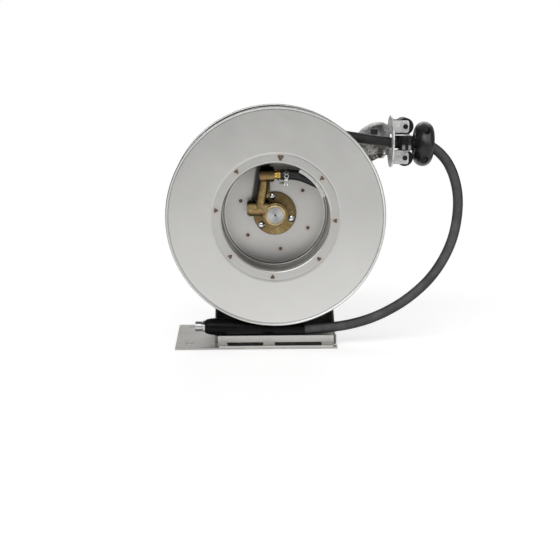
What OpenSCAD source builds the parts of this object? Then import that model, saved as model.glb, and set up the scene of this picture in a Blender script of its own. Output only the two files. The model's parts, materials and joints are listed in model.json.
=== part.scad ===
// Spring-rewind hose reel. A stainless drum turns on a fixed hollow axle. A brass swivel in the
// open front of the drum feeds the hose, a flat spring behind the web winds it back in, and a
// four-roller guide on an arm leads it out. The pedestal and base are folded sheet.
// X is to the right, Y to the rear and Z up. The origin is on the underside of the base plate,
// below the middle of the drum.

/* [Drum] */
// Outside diameter of the two discs
disc_d = 360; // [340:1:376]
// Clear width between the two discs
drum_w = 90.5; // [89:0.5:93]
// Diameter of the opening in the front disc
opening_d = 176; // [172:1:178]
// Depth of the open front cavity, from the front disc to the web plate
cavity_depth = 60.75; // [58:0.25:62]
// Thickness of the drum's stainless sheet
sheet_t = 1.5; // [1:0.1:2]
// Diameter of the bead rolled into the edge of each disc
bead_d = 4; // [3:0.5:5]
// How far the middle of the front disc is pressed back
dish_depth = 2.5; // [1.5:0.1:3.5]
// Radius at which the pressed step of the front disc ends
step_r = 107; // [106:1:115]
// Outside radius of the spring case behind the web
spring_case_r = 75.5; // [70:0.5:80]
// Number of turns in the flat rewind spring
spring_turns = 9; // [5:1:11]

/* [Axle and swivel] */
// Height of the axle above the floor
axle_h = 218; // [216:1:226]
// Diameter of the fixed axle
axle_d = 30; // [28:0.5:31]
// Radial clearance of the bushes on the axle
running_gap = 0.05; // [0.02:0.01:0.1]
// Radius of the swivel's flange
flange_r = 36; // [35:0.5:38]
// Radius of the circle of swivel screws
screw_pcr = 29.3; // [28.5:0.1:30]
// Radius of the female inlet thread in the rear end of the axle
inlet_r = 9; // [8:0.1:10]
// Depth of the inlet thread
inlet_l = 18; // [14:1:24]

/* [Base] */
// Left edge of the base plate
plate_left = -167; // [-180:1:-150]
// Front edge of the base plate
plate_front = -54; // [-58:1:-52]
// Rear edge of the base plate
plate_rear = 118.5; // [118:0.5:130]
// Thickness of the base plate
plate_t = 3; // [2:0.5:4]
// Overall width of the pedestal
pedestal_w = 203; // [196:1:203]
// Thickness of the pedestal sheet
pedestal_t = 3; // [2:0.5:4]
// Radius of the pedestal's rounded head
head_r = 60; // [56:1:66]
// Height of the front rail above the base plate
rail_h = 15; // [12:0.5:15]
// Diameter of the two anchor holes at the left of the base plate
anchor_d = 13; // [9:0.5:14]
// Width of the two slots across the front of the base
slot_w = 22; // [20:0.5:24]

/* [Guide] */
// Distance of the roller axes to the right of the axle
guide_x = 212.5; // [212:0.5:216]
// Height of the guide's middle above the axle
guide_dz = 120; // [119:0.5:121]
// Radius of the two horizontal rollers
roller_r = 13.8; // [12.5:0.1:14]
// Length of the two horizontal rollers
roller_l = 35.4; // [30:0.2:38]
// Height of each horizontal roller's axis from the guide's middle
roller_offset = 25.6; // [25.6:0.1:27]
// Radius of the two upright rollers
upright_r = 11; // [9:0.5:12]
// Radius of the roller pins
pin_r = 3; // [2.5:0.1:3.5]
// Radius of the round plate that carries the rollers
guide_plate_r = 42.5; // [42:0.5:46]
// Thickness of the guide arm
arm_t = 4; // [3:0.5:5]

/* [Hose] */
// Outside diameter of the hose
hose_d = 16.7; // [16:0.1:16.7]
// Radius of the hose stop
stop_r = 36.7; // [34:0.1:38]
// Thickness of the hose stop
stop_t = 31; // [28:0.5:31]
// Radius of the thick end of the bend restrictor
restrictor_r = 14.2; // [12:0.1:14.2]
// Radius of the male thread on the hose end
fitting_r = 8.3; // [7:0.1:9]

/* [Hidden] */
$fn = 96;

steel = "silver";
zinc = "gainsboro";
brass = "darkgoldenrod";
black = "#1c1c1e";
bronze = "peru";

// Clearance between nested pieces of one body
seat_gap = 0.1;
// Clearance between a screw's shank and its hole
bolt_gap = 0.2;

// Drum: radii from the axle, and depths along Y
disc_r = disc_d / 2;
bead_r = bead_d / 2;
gap_front = -drum_w / 2;
gap_rear = drum_w / 2;
disc_front = gap_front - sheet_t;
disc_rear = gap_rear + sheet_t;
dish_front = disc_front + dish_depth;
dish_rear = dish_front + sheet_t;
open_r = opening_d / 2;
open_scale = open_r / 88;
lip_r = 4;
collar_l = 4;
bend_r = open_r + lip_r;
bend_y = dish_front + lip_r;
collar_end = bend_y + collar_l;
wall_in = open_r + sheet_t + seat_gap;
wall_out = wall_in + sheet_t;
wall_flange_r = wall_out + 11;
step_run = 4;
web_front = disc_front + cavity_depth;
web_rear = web_front + sheet_t;
web_rim_r = wall_in - seat_gap;
web_bend = 4;
web_rim_l = 8;

// Slot through which the hose leaves the drum wall
slot_from = 22;
slot_to = 64;
slot_front = collar_end + 0.2;
slot_l = 22;
guard_w = 5.5;
guard_l = 5;

// Axle
axle_r = axle_d / 2;
bush_r = axle_r + running_gap;
bush_out = axle_r + 2;
axle_front = web_front - 31;
axle_rear = 112;
water_r = 6;

// Swivel
swivel_hub_r = axle_r + 5;
flange_t = 5;
flange_front = web_front - flange_t;
lip_front = axle_front - 0.4;
gallery_y = axle_front + 11;
seal_r = 1.1;
seal_y = [gallery_y - 5, gallery_y + 7];
screw_angles = [99, 343, 221];
m6_r = 3;
m6_head_r = 5.77;
m6_head_h = 4;
hub_plate_t = 5;
boss_at = [0, -3, 10.5];
boss_r = 13.5;
boss_end = -44;
duct_at = [-27, -9, 10];
duct_lean = 10.5;
duct_r = 8.5;
duct_bore = 4.5;
elbow_y = -14;
elbow_z = 67 * open_scale;
elbow_r = 12.5;
duct_l = elbow_z - 7;
rib_at = [-15, -8, 29];
rib_size = [6.5, 18, elbow_z - 36];
nipple_end = 8;

// Rewind spring
case_floor_r = 38.5;
case_front = web_rear;
case_rear = gap_rear - 0.45;
strip_t = 0.9;
strip_y0 = web_rear + hub_plate_t + 1;
strip_w = 19;
arbor_r = 24;
spring_in = arbor_r + 0.4 + strip_t / 2;
anchor_r = 3;
anchor_at = spring_case_r - sheet_t - 5;
spring_out = anchor_at - anchor_r - 1;
anchor_angle = 200;

// Rear hub and ratchet
rear_hub_r = 40;
rear_hub_t = 6;
hub_tube_r = axle_r + 7;
hub_tube_front = strip_y0 + strip_w + 1;
hub_tube_rear = 60;
axle_collar_t = 7;
axle_collar_l = 8;
hub_screw_pcr = 31;
ratchet_front = disc_rear + rear_hub_t;
ratchet_t = 5;
teeth = 12;
root_r = 47;
tip_r = 54;
ramp = 24;
ratchet_phase = 137.7;

// Pawl, drawn engaged and then swung clear; the group is turned two teeth round the axle
pawl_x = -62;
pawl_z = -40;
pawl_turn = 720 / teeth;
pawl_pin_r = 5;
pawl_swing = 9;
pawl_front = ratchet_front + 0.2;
pawl_t = 4.6;
pawl_post_r = 7;

// Base, rail and pedestal
rail_front = -32.5;
rail_t = 2.5;
rail_top = plate_t + rail_h;
rail_depth = 27;
rail_foot = plate_front + 0.5;
foot_cut = 7;
ped_half = pedestal_w / 2;
plate_right = ped_half;
web_y = 92;
ped_back = web_y + pedestal_t;
flange_depth = 22;
side_front = disc_rear + 7;
side_top = 75;
gusset_top = axle_h - sqrt(pow(disc_r + bead_r, 2) - pow(ped_half, 2)) - 6;
slot_y = plate_front + 3.5 + slot_w / 2;
slot_left = [-81, -21];
slot_right = [-2, 77];
slot_corner = 3;
slot_rise = 1.4;
anchor_places = [[plate_left + 23, -22], [plate_left + 23, 96]];
base_bolt_y = ped_back + 12;
base_bolt_x = [21.5 - ped_half, -30, 30, ped_half - 21.5];

// Axle mounting
axle_flange_r = 42;
axle_flange_t = 8;
m8_r = 4;
m8_head_r = 7.5;
m8_head_h = 5.3;
axle_bolt_pcr = 31;

// Guide
guide_z = axle_h + guide_dz;
wing_x = 190;
arm_back = ped_back + arm_t;
arm_bend = 8;
arm_foot_r = 46;
arm_low = [[0, -9], [wing_x - arm_bend, 84]];
lobe_x = 185;
lobe_dz = 98;
lobe_r = 48;
arch_t = 3;
arch_depth = 26;
recess_at = [174.5, 0, 129];
recess_t = 2.5;
wing_top = guide_dz + 26;
wing_low = guide_dz - 24.5;
wing_front = 24;
window_w = 44;
window_h = 26;
carrier_face = wing_x + 2.5;
frame_screw_r = 2.5;
frame_head_r = 4.4;
frame_head_h = 3.2;
frame_screw_at = [[27, -18.5], [34, 0], [27, 18.5]];
tab_t = 2;
tab_y = roller_l / 2 + 0.5;
upright_y = tab_y + tab_t + 0.8 + upright_r;
upright_l = 23.2;
bracket_z = upright_l / 2 + 0.6;
bracket_t = 1.5;

// Hose
hose_r = hose_d / 2;
core_r = wall_out + 0.2;
pocket_l = 40;
layer_r = 126.8;
layer_pitch = 17.7;
layer_turns = 4.1;
layer_steps = 24;
layer_angle = 360 / layer_steps;
core_out = layer_r * cos(layer_angle / 2) - hose_r - 0.2;
lead_r = layer_r + hose_d + 1.4;
lead_angle = 81.5;
lead_wrap = 195;

// Hose stop: its middle on the hose, and its lean
stop_at = [245, 0, 115.7];
stop_lean = 3;
stop_dir = [cos(stop_lean), 0, -sin(stop_lean)];
stop_ring = stop_r - stop_t / 2;
stop_bolt_at = 24;
stop_grip = 17;
stop_head_r = 5.2;
stop_split = 0.1;

// Route of the hose inside the drum, from the barb to the slot, measured from the axle; its
// bend follows the size of the opening
tail_bend = [
    [36, -15.5, 66], [46, -18, 63.5], [55, -21, 60], [63.5, -23.5, 56.5], [72, -25, 52.5],
    [92, -25, 43]
];
tail_route = concat(
    [for (x = [nipple_end, 16, 26]) [x, elbow_y, elbow_z]],
    [for (p = tail_bend) [p[0] * open_scale, p[1], p[2] * open_scale]]
);
tail_end = tail_route[len(tail_route) - 1];
// Route of the hose from the drum to the hose stop, measured from the axle
lead_route = [
    [65, 0, 136.9], [110, 0, 130.3], [155, 0, 123.7], [188, 0, 118.8], [200, 0, 117.2],
    [212, 0, 116.9], [228, 0, 116.6]
];
// Route of the free loop, from the hose stop to the bend restrictor, measured from the origin
loop_route = [
    [253, 0, 332.5], [262, 0, 328], [275, 0, 318], [287, 0, 304], [295, 0, 288],
    [301, 0, 270], [305, -1, 252], [306, -1, 233], [305, -2, 214], [302, -4, 195],
    [298, -5, 177], [291, -7, 159], [283, -8, 143], [274, -10, 128], [263, -11, 113],
    [251, -13, 100], [237, -15, 88], [223, -17, 77], [208, -19, 67], [191, -21, 58],
    [175, -22, 50], [158, -23, 43.5], [140, -24, 38], [122, -25, 34], [104, -25, 31],
    [85, -25, 29.2], [67, -25, 28.3]
];

// Bend restrictor on the front rail
restrictor_x0 = -118;
restrictor_x1 = 48;
restrictor_y = -25;
restrictor_thin = 9.3;
end_face_r = 9.2;
restrictor_fat_x = -100;
restrictor_lean = atan((restrictor_r - restrictor_thin) / (restrictor_x1 - restrictor_fat_x));
restrictor_l = (restrictor_x1 - restrictor_x0) / cos(restrictor_lean);
loop_end = [restrictor_x1, restrictor_y, rail_top + restrictor_thin + 0.3];
loop_end_dir = [-cos(restrictor_lean), 0, sin(restrictor_lean)];

// ---------- helpers ----------

module on_axle() {
    translate([0, 0, axle_h]) children();
}

// Turns an outline of [radius, y] about the axle
module turned(from = 0, sweep = 360) {
    on_axle() rotate([-90, 0, 0]) rotate([0, 0, -from - sweep])
        rotate_extrude(angle = sweep) children();
}

// Cylinder along Y between two depths
module rod_y(r, y0, y1, sides = 96) {
    translate([0, y0, 0]) rotate([-90, 0, 0]) cylinder(r = r, h = y1 - y0, $fn = sides);
}

// Cylinder along X between two places
module rod_x(r, x0, x1, sides = 96) {
    translate([x0, 0, 0]) rotate([0, 90, 0]) cylinder(r = r, h = x1 - x0, $fn = sides);
}

// Copies on a circle about the axle
module round_axle(radius, angles) {
    for (a = angles)
        on_axle() translate([radius * cos(a), 0, radius * sin(a)]) children();
}

// Plate in an upright plane facing Y: the outline's second axis is Z
module plate_y(y0, y1) {
    translate([0, y1, 0]) rotate([90, 0, 0]) linear_extrude(y1 - y0) children();
}

// Plate in an upright plane facing X: the outline is [y, z]
module plate_x(x0, x1) {
    translate([x0, 0, 0]) rotate([90, 0, 90]) linear_extrude(x1 - x0) children();
}

// Flat rectangle with round corners
module rounded_rect(w, h, r) {
    square([w - 2 * r, h], center = true);
    square([w, h - 2 * r], center = true);
    for (x = [-1, 1], y = [-1, 1])
        translate([x * (w / 2 - r), y * (h / 2 - r)]) circle(r);
}

function unit(v) = v / norm(v);
function heading(p, i) = unit(p[min(i + 1, len(p) - 1)] - p[max(i - 1, 0)]);
function side_of(t) = unit(cross(t, [0, 1, 0]));
function ring_point(c, t, r, a) = c + r * (cos(a) * side_of(t) + sin(a) * cross(side_of(t), t));

// Round tube through the points p, with its ends square to the directions first and last
module swept(p, r, sides, first, last) {
    n = len(p);
    aims = [for (i = [0:n - 1]) i == 0 ? first : i == n - 1 ? last : heading(p, i)];
    rings = [for (i = [0:n - 1], j = [0:sides - 1]) ring_point(p[i], aims[i], r, 360 * j / sides)];
    walls = [
        for (i = [0:n - 2], j = [0:sides - 1])
            let (a = i * sides + j, b = i * sides + (j + 1) % sides)
                each [[a, b, b + sides], [a, b + sides, a + sides]]
    ];
    far = (n - 1) * sides;
    caps = [
        for (j = [1:sides - 2])
            each [[0, j + 1, j], [far, far + j, far + j + 1]]
    ];
    polyhedron(points = rings, faces = concat(walls, caps), convexity = 10);
}

// ---------- drum ----------

// Bead and flat rim of a disc, as an outline of [radius, y] with its outer face at y
module rim_outline(inner, y0, y1) {
    translate([inner, y0]) square([disc_r - bead_r - inner, y1 - y0]);
    translate([disc_r - bead_r, (y0 + y1) / 2]) circle(bead_r);
}

// Quarter bend of the sheet about [r, y]; sx and sy pick the quadrant
module bend_outline(r, y, outer, sx, sy) {
    translate([r, y])
        intersection() {
            difference() {
                circle(outer);
                circle(outer - sheet_t);
            }
            translate([sx > 0 ? 0 : -outer, sy > 0 ? 0 : -outer]) square(outer);
        }
}

module front_disc() {
    color(steel)
        turned() {
            rim_outline(step_r, disc_front, gap_front);
            polygon([
                [step_r, disc_front], [step_r, gap_front],
                [step_r - step_run, dish_rear], [step_r - step_run, dish_front]
            ]);
            translate([bend_r, dish_front]) square([step_r - step_run - bend_r, sheet_t]);
            bend_outline(bend_r, bend_y, lip_r, -1, -1);
            translate([open_r, bend_y]) square([sheet_t, collar_l]);
        }
}

module rear_disc() {
    color(steel)
        difference() {
            turned() rim_outline(hub_tube_r + bolt_gap, gap_rear, disc_rear);
            round_axle(hub_screw_pcr, [45:90:315]) rod_y(m6_r + bolt_gap, gap_rear - 1, disc_rear + 1);
        }
}

module drum_wall() {
    color(steel)
        difference() {
            turned() {
                bend_outline(bend_r, bend_y, lip_r - sheet_t - seat_gap, -1, -1);
                translate([wall_in, bend_y]) square([sheet_t, gap_rear - bend_y]);
                translate([bend_r, dish_rear + seat_gap])
                    square([wall_flange_r - bend_r, sheet_t]);
                translate([wall_out, gap_rear - sheet_t])
                    square([wall_flange_r - wall_out, sheet_t]);
            }
            turned(slot_from, slot_to - slot_from)
                translate([wall_in - 1, slot_front]) square([sheet_t + 2, slot_l]);
        }
}

module web_plate() {
    color(steel)
        difference() {
            turned() {
                translate([bush_out + 1, web_front])
                    square([web_rim_r - web_bend - bush_out - 1, sheet_t]);
                bend_outline(web_rim_r - web_bend, web_front + web_bend, web_bend, 1, -1);
                translate([web_rim_r - sheet_t, web_front + web_bend])
                    square([sheet_t, web_rim_l]);
            }
            round_axle(screw_pcr, screw_angles)
                rod_y(m6_r + bolt_gap, web_front - 1, web_rear + 1);
        }
}

module hub_plate() {
    color(zinc)
        difference() {
            turned()
                translate([bush_out + 1, web_rear]) square([flange_r - bush_out, hub_plate_t]);
            round_axle(screw_pcr, screw_angles)
                rod_y(m6_r + seat_gap, web_rear - 1, web_rear + hub_plate_t + 1);
        }
}

// Edge strip round the front of the hose slot
module slot_guard() {
    color("whitesmoke")
        turned(slot_from + 1, slot_to - slot_from - 2) {
            translate([open_r - guard_w, collar_end - guard_l + 1.5])
                square([guard_w - seat_gap, guard_l - 1.7]);
            translate([open_r - guard_w, collar_end - guard_l]) square([2, guard_l]);
        }
}

// ---------- swivel ----------

module swivel_body() {
    color(brass)
        difference() {
            union() {
                turned() {
                    translate([0, flange_front]) square([flange_r, flange_t]);
                    translate([0, lip_front + 4]) square([swivel_hub_r, flange_front - lip_front - 4]);
                    polygon([
                        [0, lip_front], [axle_r + 1.2, lip_front], [axle_r + 2, lip_front + 0.8],
                        [axle_r + 2, lip_front + 4], [0, lip_front + 4]
                    ]);
                }
                on_axle() {
                    // Stub boss, rising duct, stiffening rib and elbow of the casting
                    translate(boss_at) rod_x(boss_r, boss_end, -10);
                    translate(boss_at) rod_x(boss_r - 2, boss_end - 2.5, boss_end);
                    translate(duct_at) rotate([0, duct_lean, 0]) cylinder(r = duct_r, h = duct_l);
                    translate(rib_at) cube(rib_size);
                    translate([0, elbow_y, elbow_z + 1]) rod_x(elbow_r, -24, -3);
                    translate([0, elbow_y, elbow_z]) rod_x(elbow_r - 2.5, -26, -1.5);
                    translate([-15, elbow_y, elbow_z + 1]) rotate([-90, 0, 0])
                        cylinder(r = 10, h = 14);
                }
            }
            turned() {
                translate([0, axle_front - 2]) square([bush_r, 40]);
                translate([0, flange_front - 5]) square([bush_out, flange_t + 6]);
                translate([0, gallery_y - 2.5]) square([axle_r + 2.5, 5]);
                for (y = seal_y)
                    translate([0, y - seal_r - 0.1]) square([axle_r + 2.1, 2 * seal_r + 0.2]);
            }
            round_axle(screw_pcr, screw_angles)
                rod_y(m6_r + bolt_gap, flange_front - 1, web_front + 1);
            // Clear seats for the screw heads
            round_axle(screw_pcr, screw_angles)
                rod_y(m6_head_r + 1, flange_front - 9, flange_front);
            // Water way up the duct and out of the elbow
            on_axle() {
                translate(duct_at)
                    rotate([0, duct_lean, 0]) cylinder(r = duct_bore, h = duct_l - 4);
                translate([0, elbow_y, elbow_z]) rod_x(duct_bore, -16, 0);
                translate([0, gallery_y, boss_at[2]]) rod_x(duct_bore, -30, -axle_r);
            }
        }
}

module swivel_bush() {
    color(bronze)
        turned()
            translate([bush_r, flange_front - 4.9])
                square([bush_out - bush_r - 0.03, flange_t + 4.8]);
}

module swivel_seals() {
    color(black)
        turned()
            for (y = seal_y)
                translate([axle_r + 1.08, y]) circle(1.02);
}

module swivel_screws() {
    color(zinc)
        round_axle(screw_pcr, screw_angles) {
            rod_y(m6_head_r, flange_front - m6_head_h, flange_front, 6);
            rod_y(m6_r, flange_front - 1, web_rear + hub_plate_t);
        }
}

module hose_nipple() {
    color("goldenrod")
        on_axle()
            translate([0, elbow_y, elbow_z])
                difference() {
                    union() {
                        rod_x(6.6, -1.5, 4);
                        rod_x(9, 3, 6, 6);
                        rod_x(7.2, 5, nipple_end);
                    }
                    rod_x(duct_bore, -2, nipple_end + 1);
                }
}

// Worm-drive clamp round the hose, with its screw housing at the front
module hose_clamp() {
    color(zinc)
        on_axle()
            translate([0, elbow_y, elbow_z]) {
                difference() {
                    rod_x(hose_r + 1.1, 13, 22);
                    rod_x(hose_r + 0.15, 12, 23);
                }
                difference() {
                    translate([13.5, -hose_r - 5.5, -17]) cube([8, 5.2, 15]);
                    rod_x(hose_r + 0.6, 12, 23);
                }
                translate([17.5, -hose_r - 4.5, -19]) cylinder(r = 2.8, h = 20);
                translate([17.5, -hose_r - 4.5, -1]) cylinder(r = 4.2, h = 5, $fn = 6);
            }
}

// ---------- hose on the drum ----------

function tail_points() = [for (p = tail_route) p + [0, 0, axle_h]];
tail_out = unit(tail_end - tail_route[len(tail_route) - 2]);

module hose_tail() {
    color(black) swept(tail_points(), hose_r, 12, [1, 0, 0], tail_out);
}

// Plain inner layers of the hose, with the pocket where the hose comes through the slot
module hose_core() {
    color(black)
        difference() {
            turned()
                translate([core_r, bend_y])
                    square([core_out - core_r, gap_rear - sheet_t - 0.3 - bend_y]);
            translate(tail_end + [0, 0, axle_h])
                rotate([0, 90 - atan2(tail_out[2], tail_out[0]), 0])
                    translate([0, 0, -pocket_l]) cylinder(r = hose_r + 1.4, h = pocket_l);
        }
}

// Outer layer: clockwise seen from the front, from the front disc to the rear one
layer_count = floor(layer_turns * layer_steps);
layer_start = 200;
function layer_y(k) = layer_pitch * (k / layer_steps - layer_turns / 2) + 1;
function layer_ring(k) =
    let (a = layer_start + k * layer_angle)
        [layer_r * cos(a), layer_y(k), axle_h - layer_r * sin(a)];
function layer_dir(k) =
    let (a = layer_start + k * layer_angle) [-sin(a), 0, -cos(a)];
layer_points = concat(
    [layer_ring(0) - hose_d * layer_dir(0)],
    [for (k = [0:layer_count]) layer_ring(k)],
    [layer_ring(layer_count) + hose_d * layer_dir(layer_count)]
);

module hose_wound() {
    color(black) swept(layer_points, hose_r, 6, layer_dir(0), layer_dir(layer_count));
}

// Least gap between neighbouring turns of the outer layer, from its own points
function turn_gaps(p) =
    [for (i = [1:len(p) - 2 - layer_steps], j = [-1:1]) norm(p[i + layer_steps + j] - p[i]) - hose_d];
echo("least gap of the wound hose to itself, mm", min(turn_gaps(layer_points)));

// ---------- rewind spring ----------

module spring_case() {
    color(zinc)
        turned() {
            translate([case_floor_r, case_front])
                square([spring_case_r - case_floor_r, sheet_t]);
            translate([spring_case_r - sheet_t, case_front])
                square([sheet_t, case_rear - case_front]);
        }
}

function spiral(k, steps, off) =
    let (a = 360 * spring_turns * k / steps, r = spring_in + (spring_out - spring_in) * k / steps)
        (r + off) * [cos(a), sin(a)];

// Flat spiral strip with an eye at its outer end
module power_spring() {
    steps = 24 * spring_turns;
    color("dimgray")
        on_axle() rotate([0, -anchor_angle, 0])
            plate_y(strip_y0, strip_y0 + strip_w) {
                polygon(concat(
                    [for (k = [0:steps]) spiral(k, steps, strip_t / 2)],
                    [for (k = [steps:-1:0]) spiral(k, steps, -strip_t / 2)]
                ));
                translate([anchor_at, 0])
                    difference() {
                        circle(anchor_r + 1.1);
                        circle(anchor_r + seat_gap);
                    }
            }
}

module spring_anchor() {
    color(zinc)
        round_axle(anchor_at, [anchor_angle]) {
            rod_y(anchor_r, case_front + sheet_t, strip_y0 + strip_w + 1);
            rod_y(anchor_r + 1.5, case_front + sheet_t, strip_y0 - 0.5);
        }
}

module spring_arbor() {
    color("dimgray")
        turned()
            translate([axle_r + 0.02, strip_y0 - 0.7])
                square([arbor_r - axle_r - 0.02, strip_w + 1.4]);
}

// ---------- rear hub, ratchet and pawl ----------

module rear_hub() {
    color(zinc)
        difference() {
            turned() {
                translate([bush_out, hub_tube_front])
                    square([hub_tube_r - bush_out, hub_tube_rear - hub_tube_front]);
                translate([bush_out, disc_rear]) square([rear_hub_r - bush_out, rear_hub_t]);
            }
            round_axle(hub_screw_pcr, [45:90:315])
                rod_y(m6_r + bolt_gap, disc_rear - 1, ratchet_front + 1);
        }
}

module rear_bush() {
    color(bronze)
        turned()
            translate([bush_r, hub_tube_front + 1])
                square([bush_out - bush_r - 0.03, hub_tube_rear - hub_tube_front - 1]);
}

function tooth(k) =
    let (a = ratchet_phase + 360 / teeth * k)
        [
            root_r * [cos(a), sin(a)],
            (root_r + tip_r) / 2 * [cos(a + ramp / 2), sin(a + ramp / 2)],
            tip_r * [cos(a + ramp), sin(a + ramp)],
            root_r * [cos(a + ramp + 0.6), sin(a + ramp + 0.6)]
        ];

module ratchet_wheel() {
    color("gray")
        difference() {
            on_axle()
                plate_y(ratchet_front, ratchet_front + ratchet_t)
                    polygon([for (k = [0:teeth - 1]) each tooth(k)]);
            on_axle() rod_y(hub_tube_r + bolt_gap, ratchet_front - 1, ratchet_front + ratchet_t + 1);
            round_axle(hub_screw_pcr, [45:90:315])
                rod_y(m6_r + bolt_gap, ratchet_front - 1, ratchet_front + ratchet_t + 1);
        }
}

module hub_screws() {
    head_y = ratchet_front + ratchet_t;
    color(zinc)
        round_axle(hub_screw_pcr, [45:90:315]) {
            rod_y(m6_head_r, head_y, head_y + m6_head_h, 6);
            rod_y(m6_r, gap_rear - 0.2, head_y + 1);
        }
}

module at_pawl() {
    on_axle() rotate([0, -pawl_turn, 0]) translate([pawl_x, 0, pawl_z]) children();
}

module pawl() {
    color("gray")
        at_pawl()
            rotate([0, -pawl_swing, 0])
                difference() {
                    plate_y(pawl_front, pawl_front + pawl_t) {
                        circle(10);
                        polygon([
                            [-9.5, 2], [8.5, -2], [7.5, 30], [10, 42], [14.6, 50.5],
                            [13.6, 54.6], [8.5, 52], [-2, 34]
                        ]);
                        translate([-9.5, -22]) square([9, 22]);
                    }
                    rod_y(pawl_pin_r + running_gap, pawl_front - 1, pawl_front + pawl_t + 1);
                }
}

module pawl_pin() {
    color(zinc)
        at_pawl() {
            rod_y(pawl_pin_r, pawl_front - 0.3, web_y);
            rod_y(pawl_post_r, pawl_front + pawl_t + 0.3, web_y);
            rod_y(pawl_post_r - 0.5, pawl_front - 2.2, pawl_front - 0.3);
        }
}

// Light torsion spring on the pawl's post
coil_steps = 10;
coil_turns = 3;
coil_wire_r = 0.8;
coil_r = (pawl_post_r + coil_wire_r + 0.25) / cos(180 / coil_steps);
coil_y = pawl_front + pawl_t + 3;
coil_pitch = 2.4;
coil_points = [
    for (k = [0:coil_steps * coil_turns])
        let (a = 360 * k / coil_steps)
            [coil_r * cos(a), coil_y + coil_pitch * k / coil_steps, -coil_r * sin(a)]
];

module pawl_spring() {
    color("dimgray")
        at_pawl()
            swept(concat([coil_points[0] + [0, 0, 12]], coil_points), coil_wire_r, 6,
                [0, 0, -1], [0, 0, -1]);
}

// ---------- base ----------

module base_bolt_places() {
    for (x = base_bolt_x) translate([x, base_bolt_y, 0]) children();
}

module slot_cuts(z0, z1) {
    for (s = [slot_left, slot_right])
        translate([(s[0] + s[1]) / 2, slot_y, z0])
            linear_extrude(z1 - z0) rounded_rect(s[1] - s[0], slot_w, slot_corner);
}

module base_plate() {
    color(steel)
        difference() {
            translate([plate_left, plate_front, 0])
                cube([plate_right - plate_left, plate_rear - plate_front, plate_t]);
            for (p = anchor_places)
                translate([p[0], p[1], -1]) cylinder(d = anchor_d, h = plate_t + 2);
            slot_cuts(-1, plate_t + 1);
            base_bolt_places()
                translate([0, 0, -1]) cylinder(r = m8_r + bolt_gap, h = plate_t + 2);
        }
}

// Folded rail across the front, with its slotted foot; the slots run in under the fold
module front_rail() {
    x0 = -ped_half + pedestal_t + 1.5;
    x1 = ped_half - pedestal_t - 1.5;
    cut = foot_cut;
    color(steel)
        difference() {
            union() {
                translate([0, 0, plate_t])
                    linear_extrude(rail_t)
                        polygon([
                            [-ped_half, rail_front + rail_t], [ped_half, rail_front + rail_t],
                            [ped_half, rail_front - 5], [ped_half - cut, rail_foot],
                            [cut - ped_half, rail_foot], [-ped_half, rail_front - 5]
                        ]);
                translate([x0, rail_front, plate_t]) cube([x1 - x0, rail_t, rail_h]);
                translate([x0, rail_front, rail_top - rail_t]) cube([x1 - x0, rail_depth, rail_t]);
                translate([x0, rail_front + rail_depth - rail_t, plate_t])
                    cube([x1 - x0, rail_t, rail_h]);
            }
            slot_cuts(plate_t - 1, plate_t + rail_t + slot_rise);
        }
}

// Angle between the pedestal's corner and the tangent point on its round head
function tangent_at(half, low, r) =
    let (d = norm([half, low - axle_h]), lean = atan2(low - axle_h, half) + acos(r / d))
        [r * cos(lean), axle_h + r * sin(lean)];

module pedestal_outline(inset) {
    half = ped_half - inset;
    r = head_r - inset;
    t = tangent_at(half, side_top, r);
    polygon([
        [-half, plate_t], [half, plate_t], [half, side_top], t, [0, axle_h], [-t[0], t[1]],
        [-half, side_top]
    ]);
    translate([0, axle_h]) circle(r);
}

module pedestal() {
    color(steel)
        difference() {
            union() {
                plate_y(web_y, ped_back) pedestal_outline(0);
                difference() {
                    plate_y(web_y - flange_depth, web_y) pedestal_outline(0);
                    plate_y(web_y - flange_depth - 1, web_y) pedestal_outline(pedestal_t);
                    translate([0, web_y - flange_depth / 2, plate_t])
                        cube([pedestal_w - 2 * pedestal_t, flange_depth + 2, 2], center = true);
                }
                for (x = [-ped_half, ped_half - pedestal_t])
                    plate_x(x, x + pedestal_t)
                        polygon([
                            [rail_front + rail_t, plate_t + rail_t], [rail_front + rail_t, rail_top],
                            [rail_front + rail_depth, rail_top], [side_front, gusset_top],
                            [side_front, side_top],
                            [web_y, side_top], [web_y, plate_t + rail_t]
                        ]);
                translate([-ped_half, web_y, plate_t])
                    cube([pedestal_w, plate_rear - web_y - 1, pedestal_t]);
            }
            on_axle() rod_y(axle_r + bolt_gap, web_y - 1, ped_back + 1);
            round_axle(axle_bolt_pcr, [45:90:315])
                rod_y(m8_r + bolt_gap, web_y - 1, ped_back + 1);
            base_bolt_places()
                translate([0, 0, plate_t - 1]) cylinder(r = m8_r + bolt_gap, h = pedestal_t + 2);
        }
}

module base_bolts() {
    top = plate_t + pedestal_t;
    color(zinc)
        base_bolt_places() {
            translate([0, 0, 0.3]) cylinder(r = m8_r, h = top);
            translate([0, 0, top]) cylinder(r = m8_head_r, h = m8_head_h, $fn = 6);
        }
}

// ---------- axle ----------

module axle() {
    color("lightgray")
        difference() {
            turned()
                polygon([
                    [0, axle_front], [axle_r - 0.8, axle_front], [axle_r, axle_front + 0.8],
                    [axle_r, axle_rear - 1], [axle_r - 1, axle_rear], [0, axle_rear]
                ]);
            // Lathe centre in the front end
            turned()
                polygon([[0, axle_front - 1], [3, axle_front - 1], [2, axle_front], [0, axle_front + 3]]);
            on_axle() rod_y(water_r, gallery_y - 3, axle_rear + 1);
            on_axle() rod_y(inlet_r, axle_rear - inlet_l, axle_rear + 1);
            on_axle() translate([0, gallery_y, -axle_r - 1]) cylinder(r = 2.4, h = axle_d + 2);
            turned()
                translate([axle_r - 1.1, web_rear + 0.6]) square([3, 1.9]);
        }
}

module retaining_ring() {
    color(zinc)
        turned()
            translate([axle_r - 1, web_rear + 0.7]) square([2.6, 1.7]);
}

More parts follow.
